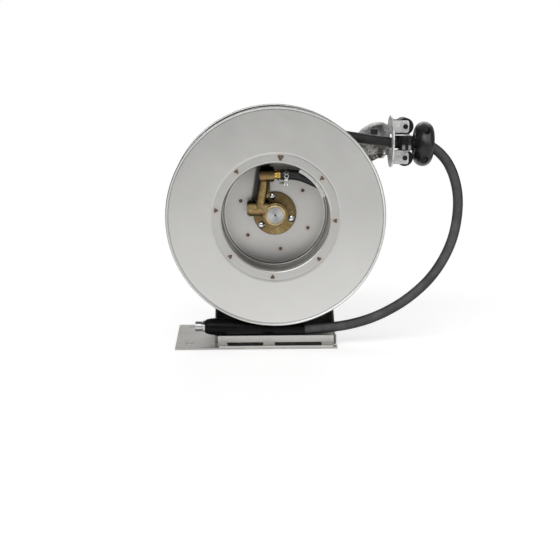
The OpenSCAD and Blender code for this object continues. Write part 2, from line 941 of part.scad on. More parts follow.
module axle_collar() {
    color(zinc)
        turned()
            translate([axle_r + 0.02, hub_tube_rear + 0.3]) square([axle_collar_t, axle_collar_l]);
}

module axle_flange() {
    color(zinc)
        difference() {
            turned()
                translate([axle_r + 0.02, web_y - axle_flange_t])
                    square([axle_flange_r - axle_r - 0.02, axle_flange_t]);
            round_axle(axle_bolt_pcr, [45:90:315])
                rod_y(m8_r + bolt_gap, web_y - axle_flange_t - 1, web_y + 1);
        }
}

module axle_bolts() {
    color(zinc)
        round_axle(axle_bolt_pcr, [45:90:315]) {
            rod_y(m8_head_r, web_y - axle_flange_t - m8_head_h, web_y - axle_flange_t, 6);
            rod_y(m8_r, web_y - axle_flange_t - 1, arm_back + m8_head_h + 2);
            rod_y(m8_head_r, arm_back, arm_back + m8_head_h, 6);
        }
}

// ---------- guide ----------

// Outline of the arm as [x, z] from the axle: foot, rising band and arched lobe
module arm_outline() {
    fold = arm_low[1][0];
    circle(arm_foot_r);
    polygon([
        [-22, 40], [lobe_x - 36, lobe_dz + 30], [fold, lobe_dz + 30], arm_low[1], arm_low[0]
    ]);
    intersection() {
        translate([lobe_x, lobe_dz]) circle(lobe_r);
        polygon([[0, 40], [0, 200], [fold, 200], arm_low[1], arm_low[0]]);
    }
}

// Flange along the arched top of the lobe
module arch_outline() {
    intersection() {
        translate([lobe_x, lobe_dz])
            difference() {
                circle(lobe_r);
                circle(lobe_r - arch_t);
            }
        translate([lobe_x - 42, lobe_dz + 20]) square([wing_x - arm_t - lobe_x + 42, lobe_r]);
    }
}

module guide_arm() {
    fold = arm_low[1][0];
    bend_low = arm_low[1][1];
    color("darkgray")
        on_axle()
            difference() {
                union() {
                    plate_y(ped_back, arm_back) arm_outline();
                    plate_y(ped_back - arch_depth, arm_back - arm_t / 2) arch_outline();
                    // Bend and forward wing
                    translate([fold, arm_back - arm_bend, bend_low])
                        intersection() {
                            difference() {
                                cylinder(r = arm_bend, h = wing_top - bend_low);
                                translate([0, 0, -1])
                                    cylinder(r = arm_bend - arm_t, h = wing_top - bend_low + 2);
                            }
                            cube([arm_bend, arm_bend, wing_top - bend_low]);
                        }
                    plate_x(wing_x - arm_t, wing_x)
                        polygon([
                            [arm_back - arm_bend, wing_top], [wing_front, wing_top],
                            [wing_front, wing_low], [wing_front + 16, wing_low],
                            [arm_back - arm_bend, bend_low]
                        ]);
                }
                rod_y(axle_r + bolt_gap, ped_back - 1, arm_back + 1);
                for (a = [45:90:315])
                    translate([axle_bolt_pcr * cos(a), 0, axle_bolt_pcr * sin(a)])
                        rod_y(m8_r + bolt_gap, ped_back - 1, arm_back + 1);
                // Pressed recess below the arch
                translate(recess_at)
                    plate_y(ped_back - 1, ped_back + recess_t) rounded_rect(13, 10, 1.5);
                translate([0, 0, -axle_h])
                    frame_screw_places()
                        rod_x(frame_screw_r + bolt_gap, wing_x - arm_t - 1, wing_x + 1);
            }
}

module frame_screw_places() {
    for (p = frame_screw_at)
        translate([0, p[0], guide_z + p[1]]) children();
}

// Round plate with the tabs that hold the roller pins
module roller_frame() {
    reach = guide_x + 6;
    color(zinc)
        difference() {
            union() {
                plate_x(wing_x, carrier_face) translate([0, guide_z]) circle(guide_plate_r);
                for (side = [-1, 1], up = [-1, 1]) {
                    y0 = side > 0 ? tab_y : -tab_y - tab_t;
                    translate([0, 0, guide_z + up * roller_offset])
                        plate_y(y0, y0 + tab_t) {
                            translate([wing_x + 1, -10]) square([reach - wing_x - 5, 20]);
                            translate([wing_x + 1, -6]) square([reach - wing_x - 1, 12]);
                            for (z = [-6, 6]) translate([reach - 4, z]) circle(4);
                        }
                    z0 = guide_z + (up > 0 ? bracket_z : -bracket_z - bracket_t);
                    translate([0, side * upright_y, z0])
                        linear_extrude(bracket_t) {
                            translate([wing_x + 1, -6]) square([guide_x - wing_x - 1, 12]);
                            translate([guide_x, 0]) circle(6);
                        }
                }
            }
            translate([0, 0, guide_z]) plate_x(wing_x - 1, carrier_face + 0.01)
                rounded_rect(window_w, window_h, 6);
            frame_screw_places() rod_x(frame_screw_r + bolt_gap, wing_x - 1, carrier_face + 0.01);
            for (up = [-1, 1])
                translate([guide_x, 0, guide_z + up * roller_offset])
                    rod_y(pin_r + 0.02, -tab_y - tab_t - 1, tab_y + tab_t + 1);
            for (side = [-1, 1])
                translate([guide_x, side * upright_y, guide_z - 30])
                    cylinder(r = pin_r + 0.02, h = 60);
        }
}

module frame_screws() {
    color(zinc)
        frame_screw_places() {
            rod_x(frame_screw_r, wing_x - arm_t - frame_head_h, carrier_face + frame_head_h);
            rod_x(frame_head_r, carrier_face, carrier_face + frame_head_h, 6);
            rod_x(frame_head_r, wing_x - arm_t - frame_head_h, wing_x - arm_t, 6);
        }
}

module roller_pins_horizontal() {
    end = tab_y + tab_t;
    color("dimgray")
        for (up = [-1, 1])
            translate([guide_x, 0, guide_z + up * roller_offset]) {
                rod_y(pin_r, -end - 1.5, end + 1.5);
                rod_y(pin_r + 1, -end - 1.5, -end);
                rod_y(pin_r + 1, end, end + 1.5);
            }
}

module roller_pins_vertical() {
    end = bracket_z + bracket_t;
    color("dimgray")
        for (side = [-1, 1])
            translate([guide_x, side * upright_y, guide_z]) {
                translate([0, 0, -end - 1]) cylinder(r = pin_r, h = 2 * end + 2);
                for (z = [-end - 1.2, end]) translate([0, 0, z]) cylinder(r = pin_r + 1, h = 1.2);
            }
}

// Roller turned about its own axis, along Z, with eased edges
module roller(r, l) {
    ease = 1.6;
    color(black)
        rotate_extrude()
            difference() {
                translate([pin_r + 0.08, -l / 2]) square([r - pin_r - 0.08, l]);
                for (m = [-1, 1])
                    scale([1, m])
                        translate([r - ease, l / 2 - ease])
                            difference() {
                                square(ease + 1);
                                circle(ease);
                            }
            }
}

module roller_top() {
    translate([guide_x, 0, guide_z + roller_offset]) rotate([90, 0, 0]) roller(roller_r, roller_l);
}

module roller_bottom() {
    translate([guide_x, 0, guide_z - roller_offset]) rotate([90, 0, 0]) roller(roller_r, roller_l);
}

module roller_front() {
    translate([guide_x, -upright_y, guide_z]) roller(upright_r, upright_l);
}

module roller_rear() {
    translate([guide_x, upright_y, guide_z]) roller(upright_r, upright_l);
}

// ---------- hose outside the drum ----------

stop_mid = stop_at + [0, 0, axle_h];
wrap_steps = floor(lead_wrap / layer_angle);
lead_points = concat(
    [
        for (k = [wrap_steps:-1:0])
            let (a = lead_angle + k * layer_angle)
                [lead_r * cos(a), -k, axle_h + lead_r * sin(a)]
    ],
    [for (p = lead_route) p + [0, 0, axle_h]],
    [stop_mid]
);
wrap_end = lead_angle + wrap_steps * layer_angle;

module hose_lead() {
    color(black) swept(lead_points, hose_r, 12, [sin(wrap_end), 0, -cos(wrap_end)], stop_dir);
}

module hose_loop() {
    color(black)
        swept(concat([stop_mid], loop_route, [loop_end]), hose_r, 12, stop_dir, loop_end_dir);
}

module at_stop() {
    translate(stop_mid) rotate([0, stop_lean, 0]) children();
}

// Rubber bumper, a thick ring with a waist, bored for the hose and flared where it leaves
module stop_body() {
    flare = 4.9;
    at_stop()
        difference() {
            rotate([0, 90, 0])
                rotate_extrude()
                    difference() {
                        union() {
                            translate([stop_ring, 0]) circle(stop_t / 2);
                            translate([0, -stop_t / 2 + 2]) square([stop_ring, stop_t - 4]);
                        }
                        translate([-stop_r, -stop_r]) square([stop_r + hose_r + 0.25, 2 * stop_r]);
                    }
            rotate([0, 90, 0])
                cylinder(r1 = hose_r + 0.25, r2 = hose_r + flare + 0.8, h = stop_t / 2 + 1);
            for (z = [-stop_bolt_at, stop_bolt_at])
                translate([0, 0, z]) {
                    rod_y(pin_r + 0.1, -stop_r, stop_r);
                    rod_y(stop_head_r + 0.8, -stop_r, -stop_grip);
                    rod_y(stop_head_r + 0.8, stop_grip, stop_r);
                }
        }
}

module hose_stop_front() {
    color(black)
        intersection() {
            stop_body();
            translate(stop_mid + [-50, -50 - stop_split, -50]) cube([100, 50, 100]);
        }
}

module hose_stop_rear() {
    color(black)
        intersection() {
            stop_body();
            translate(stop_mid + [-50, stop_split, -50]) cube([100, 50, 100]);
        }
}

module hose_stop_bolts() {
    color("dimgray")
        at_stop()
            for (z = [-stop_bolt_at, stop_bolt_at])
                translate([0, 0, z]) {
                    rod_y(pin_r, -stop_grip - 4, stop_grip + 4);
                    rod_y(stop_head_r, -stop_grip - 4, -stop_grip);
                    rod_y(stop_head_r, stop_grip, stop_grip + 4, 6);
                }
}

module at_restrictor() {
    translate(loop_end) rotate([0, -90 + restrictor_lean, 0]) children();
}

// Rubber bend restrictor: its local axis runs from the thin end to the thick end
module bend_restrictor() {
    fat = (restrictor_x1 - restrictor_fat_x) / cos(restrictor_lean);
    color(black)
        at_restrictor()
            rotate_extrude()
                polygon(concat(
                    [[0, 0.02], [restrictor_thin - 0.8, 0.02], [restrictor_thin, 0.8]],
                    [
                        for (a = [0:10:80])
                            [
                                end_face_r + (restrictor_r - end_face_r) * cos(a),
                                fat + (restrictor_l - fat) * sin(a)
                            ]
                    ],
                    [[end_face_r - 0.2, restrictor_l], [0, restrictor_l]]
                ));
}

// Steel male end: hex, collar and thread with its bore
module end_fitting() {
    color("silver")
        at_restrictor()
            translate([0, 0, restrictor_l])
                difference() {
                    union() {
                        cylinder(r = 9.6, h = 3.2, $fn = 6);
                        translate([0, 0, 3.2]) cylinder(r = fitting_r - 1.2, h = 2);
                        translate([0, 0, 5]) cylinder(r = fitting_r, h = 11);
                    }
                    translate([0, 0, 4]) cylinder(r = 4.5, h = 13);
                }
}

base_plate();
front_rail();
pedestal();
base_bolts();
axle();
axle_flange();
axle_bolts();
axle_collar();
retaining_ring();
spring_arbor();
front_disc();
rear_disc();
drum_wall();
web_plate();
hub_plate();
slot_guard();
swivel_body();
swivel_bush();
swivel_seals();
swivel_screws();
hose_nipple();
hose_clamp();
hose_tail();
hose_core();
hose_wound();
spring_case();
power_spring();
spring_anchor();
rear_hub();
rear_bush();
ratchet_wheel();
hub_screws();
pawl();
pawl_pin();
pawl_spring();
guide_arm();
roller_frame();
frame_screws();
roller_pins_horizontal();
roller_pins_vertical();
roller_top();
roller_bottom();
roller_front();
roller_rear();
hose_lead();
hose_stop_front();
hose_stop_rear();
hose_stop_bolts();
hose_loop();
bend_restrictor();
end_fitting();
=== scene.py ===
import json
import math

import bmesh
import bpy
from mathutils import Matrix, Vector


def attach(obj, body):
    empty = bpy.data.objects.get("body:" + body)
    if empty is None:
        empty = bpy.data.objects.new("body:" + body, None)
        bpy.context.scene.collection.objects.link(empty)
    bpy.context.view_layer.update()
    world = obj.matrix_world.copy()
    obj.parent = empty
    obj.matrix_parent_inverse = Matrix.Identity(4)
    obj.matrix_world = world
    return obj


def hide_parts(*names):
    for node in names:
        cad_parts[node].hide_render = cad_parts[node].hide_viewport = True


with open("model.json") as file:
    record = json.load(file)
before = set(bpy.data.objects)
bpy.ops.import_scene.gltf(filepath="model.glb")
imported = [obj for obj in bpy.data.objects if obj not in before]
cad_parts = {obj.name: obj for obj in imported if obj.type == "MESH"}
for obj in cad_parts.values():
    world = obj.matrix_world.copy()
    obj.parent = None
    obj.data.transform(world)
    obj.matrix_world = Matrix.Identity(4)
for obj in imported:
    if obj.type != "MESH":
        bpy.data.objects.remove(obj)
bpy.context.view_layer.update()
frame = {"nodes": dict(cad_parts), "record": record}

NODES = frame["nodes"]
JOINTS = {joint["name"]: joint for joint in frame["record"]["behaviour"]["joints"]}
MM = 0.001
AXLE_Z = JOINTS["drum_spin"]["pos_m"][2]
AXLE_Z_MM = AXLE_Z / MM
FRONT = Vector((0, -1, 0))


def add_object(name, data):
    """Object with its data, linked to the scene."""
    obj = bpy.data.objects.new(name, data)
    bpy.context.scene.collection.objects.link(obj)
    return obj


# ---------- camera ----------

CAMERA_PLACE = (-0.0634, -1.9813, 0.4873)
CAMERA_DOWN = 10.88  # degrees below the horizon
CAMERA_TURN = -2.07  # degrees from the Y axis, negative to the right
CAMERA_LENS = 77.14  # mm, on a sensor SENSOR_WIDTH mm wide
SENSOR_WIDTH = 36


def make_camera():
    data = bpy.data.cameras.new("camera")
    data.sensor_width = SENSOR_WIDTH
    data.lens = CAMERA_LENS
    data.clip_start = 0.05
    data.clip_end = 50
    camera = add_object("camera", data)
    camera.location = CAMERA_PLACE
    camera.rotation_euler = (math.radians(90 - CAMERA_DOWN), 0, math.radians(CAMERA_TURN))
    bpy.context.scene.camera = camera


make_camera()


# ---------- curves and loops ----------

def mm(points, dz=0.0):
    """Points in metres from points in millimetres, raised by dz millimetres."""
    return [Vector((x * MM, y * MM, (z + dz) * MM)) for x, y, z in points]


def catmull(points, steps):
    """Points of a smooth curve through the given ones."""
    pts = [Vector(p) for p in points]
    pts = [2 * pts[0] - pts[1]] + pts + [2 * pts[-1] - pts[-2]]
    out = []
    for i in range(1, len(pts) - 2):
        a, b, c, d = pts[i - 1:i + 3]
        for k in range(steps):
            t = k / steps
            square = (2 * a - 5 * b + 4 * c - d) * t * t
            cube = (3 * b - a - 3 * c + d) * t ** 3
            out.append(0.5 * (2 * b + (c - a) * t + square + cube))
    out.append(pts[-2])
    return out


def relaxed(points, rounds):
    """Points moved towards the middle of their neighbours, ends kept."""
    pts = [Vector(p) for p in points]
    for _ in range(rounds):
        inner = [
            0.25 * before + 0.5 * here + 0.25 * after
            for before, here, after in zip(pts, pts[1:], pts[2:])
        ]
        pts = [pts[0]] + inner + [pts[-1]]
    return pts


def about_axle(radius, degrees, y):
    """Point at a radius and an angle about the axle."""
    a = math.radians(degrees)
    return Vector((radius * math.cos(a), y, AXLE_Z + radius * math.sin(a)))


def around(sides, turn=0.0):
    """Evenly spaced angles of a full turn."""
    return [2 * math.pi * k / sides + turn for k in range(sides)]


def circle(bm, centre, u, v, radius, sides):
    """Loop of vertices round a centre, in the plane of u and v."""
    return [
        bm.verts.new(centre + (u * math.cos(t) + v * math.sin(t)) * radius)
        for t in around(sides)
    ]


def bridge(bm, loops):
    """Quads between each loop of vertices and the next."""
    for a, b in zip(loops, loops[1:]):
        n = len(a)
        for k in range(n):
            bm.faces.new((a[k], a[(k + 1) % n], b[(k + 1) % n], b[k]))


# ---------- hose ----------

HOSE_R = 8.35 * MM
END_EASE = 0.12  # rounding of a tube's ends, as a share of its radius


def tube(name, points, sides):
    """Hose along points, its ends rounded off a little."""
    pts = [Vector(p) for p in points]
    last = len(pts) - 1
    along = [
        (pts[min(i + 1, last)] - pts[max(i - 1, 0)]).normalized() for i in range(last + 1)
    ]
    ease = HOSE_R * END_EASE
    sections = [(pts[0], along[0], HOSE_R - ease), (pts[0] + along[0] * ease, along[0], HOSE_R)]
    sections += [(p, t, HOSE_R) for p, t in zip(pts[1:-1], along[1:-1])]
    sections += [(pts[-1] - along[-1] * ease, along[-1], HOSE_R),
                 (pts[-1], along[-1], HOSE_R - ease)]
    bm = bmesh.new()
    loops = []
    across = along[0].orthogonal().normalized()
    for centre, t, radius in sections:
        across = (across - t * across.dot(t)).normalized()
        loops.append(circle(bm, centre, across, t.cross(across), radius, sides))
    bridge(bm, loops)
    bm.faces.new(loops[0][::-1])
    bm.faces.new(loops[-1])
    bmesh.ops.recalc_face_normals(bm, faces=bm.faces)
    data = bpy.data.meshes.new(name)
    bm.to_mesh(data)
    bm.free()
    for poly in data.polygons:
        poly.use_smooth = len(poly.vertices) == 4
    return add_object(name, data)


# Where the hose leaves the two halves of its stop, in millimetres
STOP_MID = (245, 0, 333.7)

# Free loop from the stop round to the bend restrictor
LOOP_ROUTE = [
    STOP_MID,
    (253, 0, 332.5), (262, 0, 328), (275, 0, 318), (287, 0, 304), (295, 0, 288),
    (301, 0, 270), (305, -1, 252), (306, -1, 233), (305, -2, 214), (302, -4, 195),
    (298, -5, 177), (291, -7, 159), (283, -8, 143), (274, -10, 128), (263, -11, 113),
    (251, -13, 100), (237, -15, 88), (223, -17, 77), (208, -19, 67), (191, -21, 58),
    (175, -22, 50), (158, -23, 43.5), (140, -24, 38), (122, -25, 34), (104, -25, 31),
    (85, -25, 29.2), (67, -25, 28.3), (48, -25, 27.6),
]

# Lead: over half a turn on the drum, then a straight run through the rollers
LEAD_R = 144.9
LEAD_LEAVES = 81.5  # degrees about the axle
LEAD_WRAP = 195
LEAD_DRIFT = -13  # towards the front, over the wrap
LEAD_STEPS = 52
LEAD_RUN = [
    (65, 0, 354.9), (110, 0, 348.3), (155, 0, 341.7), (188, 0, 336.8), (200, 0, 335.2),
    (212, 0, 334.9), (228, 0, 334.6), STOP_MID,
]

# Tail from the elbow to the slot in the drum's wall, with heights above the axle
TAIL = [
    (8, -14, 67), (16, -14, 67), (26, -14, 67), (36, -15.5, 66), (46, -18, 63.5),
    (55, -21, 60), (63.5, -23.5, 56.5), (72, -25, 52.5), (92, -25, 43),
]

# Layers on the drum
LAYER_PITCH = 17.7
OUTER_LAYER_R = 126.8
INNER_LAYER_R = 109.0
TURN_STEPS = 48


def lead_route():
    """Lead's points, from the drum's back to the stop."""
    wrap = []
    for k in range(LEAD_STEPS, -1, -1):
        share = k / LEAD_STEPS
        a = math.radians(LEAD_LEAVES + LEAD_WRAP * share)
        wrap.append((LEAD_R * math.cos(a), LEAD_DRIFT * share, AXLE_Z_MM + LEAD_R * math.sin(a)))
    return wrap + LEAD_RUN


def helix(radius, start, turns, y_mid, hand):
    """Turns of hose round the axle; hand 1 runs clockwise seen from the front, -1 the other way."""
    out = []
    for k in range(int(turns * TURN_STEPS) + 1):
        a = math.radians(start + hand * 360 * k / TURN_STEPS)
        y = LAYER_PITCH * (k / TURN_STEPS - turns / 2) + y_mid
        out.append((radius * math.cos(a), y, AXLE_Z_MM - radius * math.sin(a)))
    return mm(out)


loop_points = catmull(relaxed(mm(LOOP_ROUTE), 1), 3)
hose_loop = tube("hose_free_loop", loop_points, 36)
hose_lead = tube("hose_to_guide", catmull(mm(lead_route()), 2), 32)
hose_wound = tube("hose_outer_layer", helix(OUTER_LAYER_R, start=200, turns=4.1, y_mid=1, hand=1), 24)
hose_core = tube("hose_inner_layer", helix(INNER_LAYER_R, start=40, turns=3.7, y_mid=1.2, hand=-1), 16)
hose_tail = tube("hose_to_slot", catmull(mm(TAIL, AXLE_Z_MM), 4), 32)

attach(hose_loop, "base")
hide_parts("hose_loop")
for piece, node, body in (
    (hose_lead, "hose_lead", "base"), (hose_wound, "hose_wound", "drum"),
    (hose_core, "hose_core", "drum"), (hose_tail, "hose_tail", "drum"),
):
    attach(piece, body)
    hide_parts(node)


# ---------- node trees ----------

class Tree:
    """Short way to build a node tree. An input is a number, a tuple or another node's output."""

    def __init__(self, tree):
        self.tree = tree
        tree.nodes.clear()

    def add(self, kind, **values):
        node = self.tree.nodes.new(kind)
        for key, value in values.items():
            setattr(node, key, value)
        return node

    def put(self, value, socket):
        """Set a socket to a plain value, or link an output to it."""
        if isinstance(value, (int, float, tuple)):
            socket.default_value = value
        else:
            self.tree.links.new(value, socket)

    def make(self, kind, inputs, output=0, **values):
        """Output of a new node."""
        node = self.add(kind, **values)
        for key, value in inputs.items():
            self.put(value, node.inputs[key])
        return node.outputs[output]

    def remap(self, value, lo, hi, a=0.0, b=1.0, smooth=False):
        """From a to b as a value goes from lo to hi."""
        inputs = {"Value": value, "From Min": lo, "From Max": hi, "To Min": a, "To Max": b}
        easing = "SMOOTHSTEP" if smooth else "LINEAR"
        return self.make("ShaderNodeMapRange", inputs, "Result", interpolation_type=easing)

    def ramp(self, fac, stops):
        """Colour from (position, colour) stops."""
        node = self.add("ShaderNodeValToRGB")
        elements = node.color_ramp.elements
        while len(elements) < len(stops):
            elements.new(0.5)
        for element, (place, colour) in zip(elements, stops):
            element.position = place
            element.color = (*colour, 1)
        self.put(fac, node.inputs["Fac"])
        return node.outputs["Color"]

    def math(self, op, a, b=0.0):
        return self.make("ShaderNodeMath", {0: a, 1: b}, operation=op)

    def times(self, product, *factors):
        for factor in factors:
            product = self.math("MULTIPLY", product, factor)
        return product

    def vector(self, op, a, b=(0, 0, 0)):
        output = "Value" if op in ("DOT_PRODUCT", "LENGTH") else 0
        return self.make("ShaderNodeVectorMath", {0: a, 1: b}, output, operation=op)

    def scaled(self, a, factor):
        """Vector or colour times a factor."""
        return self.make("ShaderNodeVectorMath", {0: a, "Scale": factor}, operation="SCALE")

    def split(self, vector):
        node = self.add("ShaderNodeSeparateXYZ")
        self.put(vector, node.inputs[0])
        return node.outputs[0], node.outputs[1], node.outputs[2]

    def glow(self, strength):
        return self.make("ShaderNodeEmission", {"Strength": strength})

    def mix_shader(self, fac, a, b):
        return self.make("ShaderNodeMixShader", {0: fac, 1: a, 2: b})

    def ray(self, kind):
        return self.make("ShaderNodeLightPath", {}, kind)


class Surface(Tree):
    """Material with one principled shader. Places are those of the part's own frame."""

    def __init__(self, name):
        self.mat = bpy.data.materials.new(name)
        self.mat.use_nodes = True
        super().__init__(self.mat.node_tree)
        self.bsdf = self.add("ShaderNodeBsdfPrincipled")
        out = self.add("ShaderNodeOutputMaterial")
        self.put(self.bsdf.outputs[0], out.inputs["Surface"])
        where = self.add("ShaderNodeTexCoord")
        self.coord = where.outputs["Object"]
        self.own_normal = where.outputs["Normal"]

    def set(self, **values):
        """Set inputs of the shader, with _ for each space in their names."""
        for key, value in values.items():
            self.put(value, self.bsdf.inputs[key.replace("_", " ")])

    # Patterns

    def stretch(self, scale, turn=(0, 0, 0)):
        inputs = {"Vector": self.coord, "Scale": scale, "Rotation": turn}
        return self.make("ShaderNodeMapping", inputs)

    def noise(self, scale, detail=3.0, rough=0.55, source=None, distortion=0.0):
        inputs = {"Vector": source or self.coord, "Scale": scale, "Detail": detail,
                  "Roughness": rough, "Distortion": distortion}
        return self.make("ShaderNodeTexNoise", inputs, "Fac")

    # Colours

    def mix(self, fac, a, b):
        """Colour a where fac is 0 and b where it is 1."""
        a, b = ((*c, 1) if isinstance(c, tuple) else c for c in (a, b))
        return self.make("ShaderNodeMix", {0: fac, 6: a, 7: b}, 2, data_type="RGBA")

    def under(self, mask, factor):
        """The factor inside a mask and 1 outside it."""
        plain = isinstance(factor, (int, float))
        change = factor - 1.0 if plain else self.math("SUBTRACT", factor, 1.0)
        return self.math("ADD", self.times(mask, change), 1.0)

    def shade(self, col, mask, factor):
        """Colour darkened or lightened by a factor inside a mask."""
        return self.scaled(col, self.under(mask, factor))

    # Places

    def parts(self):
        """X, Y and Z of a point."""
        return self.split(self.coord)

    def radial(self):
        """Radius from the axle and angle about it, of a point."""
        x, _, z = self.parts()
        up = self.math("SUBTRACT", z, AXLE_Z)
        radius = self.math("SQRT", self.math("ADD", self.times(x, x), self.times(up, up)))
        return radius, self.math("ARCTAN2", up, x)

    def distance(self, centre, along):
        """Distance from a centre, along the axes where along is 1."""
        away = self.vector("SUBTRACT", self.coord, tuple(centre))
        return self.vector("LENGTH", self.vector("MULTIPLY", away, along))

    def inside(self, value, lo, hi, soft):
        """1 where a value lies between two limits, fading over soft on each side."""
        up = self.remap(value, lo - soft, lo + soft, smooth=True)
        down = self.remap(value, hi - soft, hi + soft, 1, 0, smooth=True)
        return self.times(up, down)

    def below(self, value, limit):
        return self.math("LESS_THAN", value, limit)

    def above(self, value, limit):
        return self.math("GREATER_THAN", value, limit)

    def facing(self, direction, lo, hi, a=0.0, b=1.0):
        """From a to b as the piece's own surface turns towards a direction."""
        toward = tuple(Vector(direction).normalized())
        turned = self.vector("DOT_PRODUCT", self.own_normal, toward)
        return self.remap(turned, lo, hi, a, b, smooth=True)

    # Normals

    def rounded(self, radius):
        """Normal with the sharp edges rounded off."""
        return self.make("ShaderNodeBevel", {"Radius": radius}, samples=4)

    def bump(self, height, strength, distance, base=None):
        inputs = {"Height": height, "Strength": strength, "Distance": distance}
        if base:
            inputs["Normal"] = base
        return self.make("ShaderNodeBump", inputs, "Normal")

    def edges(self, radius, lo, hi):
        """1 on sharp edges, where the rounded normal leaves the true one."""
        true_normal = self.make("ShaderNodeNewGeometry", {}, "Normal")
        same = self.vector("DOT_PRODUCT", self.rounded(radius), true_normal)
        return self.remap(self.math("SUBTRACT", 1.0, same), lo, hi, smooth=True)


# Axes that count in a distance
WITHOUT_Y = (1, 0, 1)
WITHOUT_X = (0, 1, 1)


def tinted(tone, *factors):
    """Tone times one factor, or times one for each channel."""
    if len(factors) == 1:
        factors = factors * 3
    return tuple(c * f for c, f in zip(tone, factors))


def two_sided(n, angle, turn):
    """From -1 to 1 and back, twice round the axle, for a painted glint on a turned face."""
    return n.math("COSINE", n.math("SUBTRACT", n.times(angle, 2.0), turn))


# ---------- sheet metal ----------

# Spot welds as (radius, angle about the axle). The first one on the lip is larger.
LIP_WELDS = [
    (0.0985, 85.6), (0.0986, 130.2), (0.0986, 172.8), (0.0984, 220.4), (0.0986, 266.8),
    (0.0986, 315.9), (0.0972, 356.8), (0.0985, 40.6),
]
WEB_WELDS = [
    (0.0600, 39.0), (0.0600, 99.0), (0.0607, 160.0), (0.0585, 219.3), (0.0612, 279.0),
    (0.0610, 335.5),
]

STEEL = (0.66, 0.655, 0.64)
SHEET_METALLIC = 0.92

# Rings along the web's edge, as radii: a painted highlight, a painted shade line and the bend, where
# painted light lifts the colour; and the depth behind which the web lies
WEB_LIT = (0.0822, 0.0840)
WEB_SHADE_LINE = (0.0844, 0.0862)
WEB_BEND = (0.0862, 0.0870)
WEB_BEHIND_Y = 0.0105

# Heights over which painted shade darkens the cavity, and the strip of painted shade beside the
# swivel's duct
CAVITY_LOW_Z = (0.128, 0.185)
CAVITY_HIGH_Z = (0.262, 0.300)
DUCT_SHADE_X = (-0.0425, -0.020)
DUCT_SHADE_Z = (0.216, 0.226)
DUCT_FOOT_Z = 0.222
DUCT_LEAN = 0.16

# Depths between which the base plate's slots have their cut walls
SLOT_Y = (-0.050, -0.026)


def weld_halo(n, spots, inner, outer):
    """Heat tint round each weld: 1 inside the inner radius, 0 outside the outer one."""
    total = 0.0
    for radius, degrees in spots:
        away = n.distance(about_axle(radius, degrees, 0), WITHOUT_Y)
        total = n.math("MAXIMUM", total, n.remap(away, inner, outer, 1, 0, smooth=True))
    return total


def sheet_metal(name, tone, grain=(3, 3, 260), rough=0.36, dirt=0.12, shade_and_grime=None, welds=None):
    """Satin stainless sheet: fine grain one way, slight mottling, faint wear; shade_and_grime adds
    painted shade, and on the base plate a film.
    """
    n = Surface(name)
    fine = n.noise(22, 4, 0.6, n.stretch(grain))
    cloud = n.noise(9, 4, 0.6)
    spots = n.noise(160, 3, 0.7)
    dark = tinted(tone, 1 - dirt)
    col = n.mix(n.remap(cloud, 0.35, 0.68), dark, tone)
    col = n.mix(n.remap(fine, 0.3, 0.75, 0, 0.7), col, tinted(tone, 1.06))
    col = n.mix(n.remap(spots, 0.62, 0.74, 0, 0.25), col, dark)
    if welds:
        halo = weld_halo(n, welds, 0.0030, 0.0095)
        col = n.mix(n.times(halo, 0.5), col, (0.56, 0.45, 0.40))
    # Painted shade, with a film on the base plate, from the given function
    if shade_and_grime:
        col = n.scaled(col, shade_and_grime(n))
    grained = n.remap(fine, 0.3, 0.7, rough - 0.05, rough + 0.06)
    normal = n.bump(fine, 0.12, 0.0004, n.rounded(0.0006))
    n.set(Base_Color=col, Metallic=SHEET_METALLIC,
          Roughness=n.math("ADD", grained, n.remap(cloud, 0.3, 0.7, -0.03, 0.05)),
          Normal=n.bump(spots, 0.05, 0.0003, normal))
    return n.mat


def cavity_painted_shade(n):
    """Painted shade low and high in the drum's open cavity and beside the swivel's duct, with a
    painted shade line, a painted highlight and painted light on the bend along the web's edge.
    """
    x, y, z = n.parts()
    r, _ = n.radial()
    web = n.above(y, WEB_BEHIND_Y)
    # Painted light on the web's bend, keeping it out of the painted shade low down
    bend = n.times(web, n.remap(r, *WEB_BEND, smooth=True), 1.25)
    low = n.math("MAXIMUM", n.remap(z, *CAVITY_LOW_Z, 0.46, 1.0, smooth=True), bend)
    high = n.remap(z, *CAVITY_HIGH_Z, 1.0, 0.72, smooth=True)
    # Painted shade line and painted highlight along the web's edge
    line = n.under(n.times(web, n.inside(r, *WEB_SHADE_LINE, 0.0003)), 0.36)
    lit = n.under(n.times(web, n.inside(r, *WEB_LIT, 0.0004)), 1.22)
    # Strip of painted shade beside the swivel's duct
    slant = n.math("ADD", x, n.times(n.math("SUBTRACT", z, DUCT_FOOT_Z), -DUCT_LEAN))
    beside = n.times(n.inside(slant, *DUCT_SHADE_X, 0.0022), n.remap(z, *DUCT_SHADE_Z, smooth=True))
    return n.times(low, high, line, lit, n.under(beside, 0.16))


def pedestal_painted_shade(n):
    """Painted shade on the faces turned to the drum."""
    return n.facing(FRONT, 0.3, 0.8, 1.0, 0.30)


def base_shade_and_film(n):
    """Painted shade on the cut walls of the slots, and a film over the plate."""
    _, y, _ = n.parts()
    # Painted shade on the slots' cut walls
    wall = n.times(n.facing(FRONT, 0.4, 0.7), n.inside(y, *SLOT_Y, 0.001))
    return n.times(n.under(wall, 0.04), n.remap(n.noise(14, 5, 0.7), 0.35, 0.65, 0.86, 1.06))


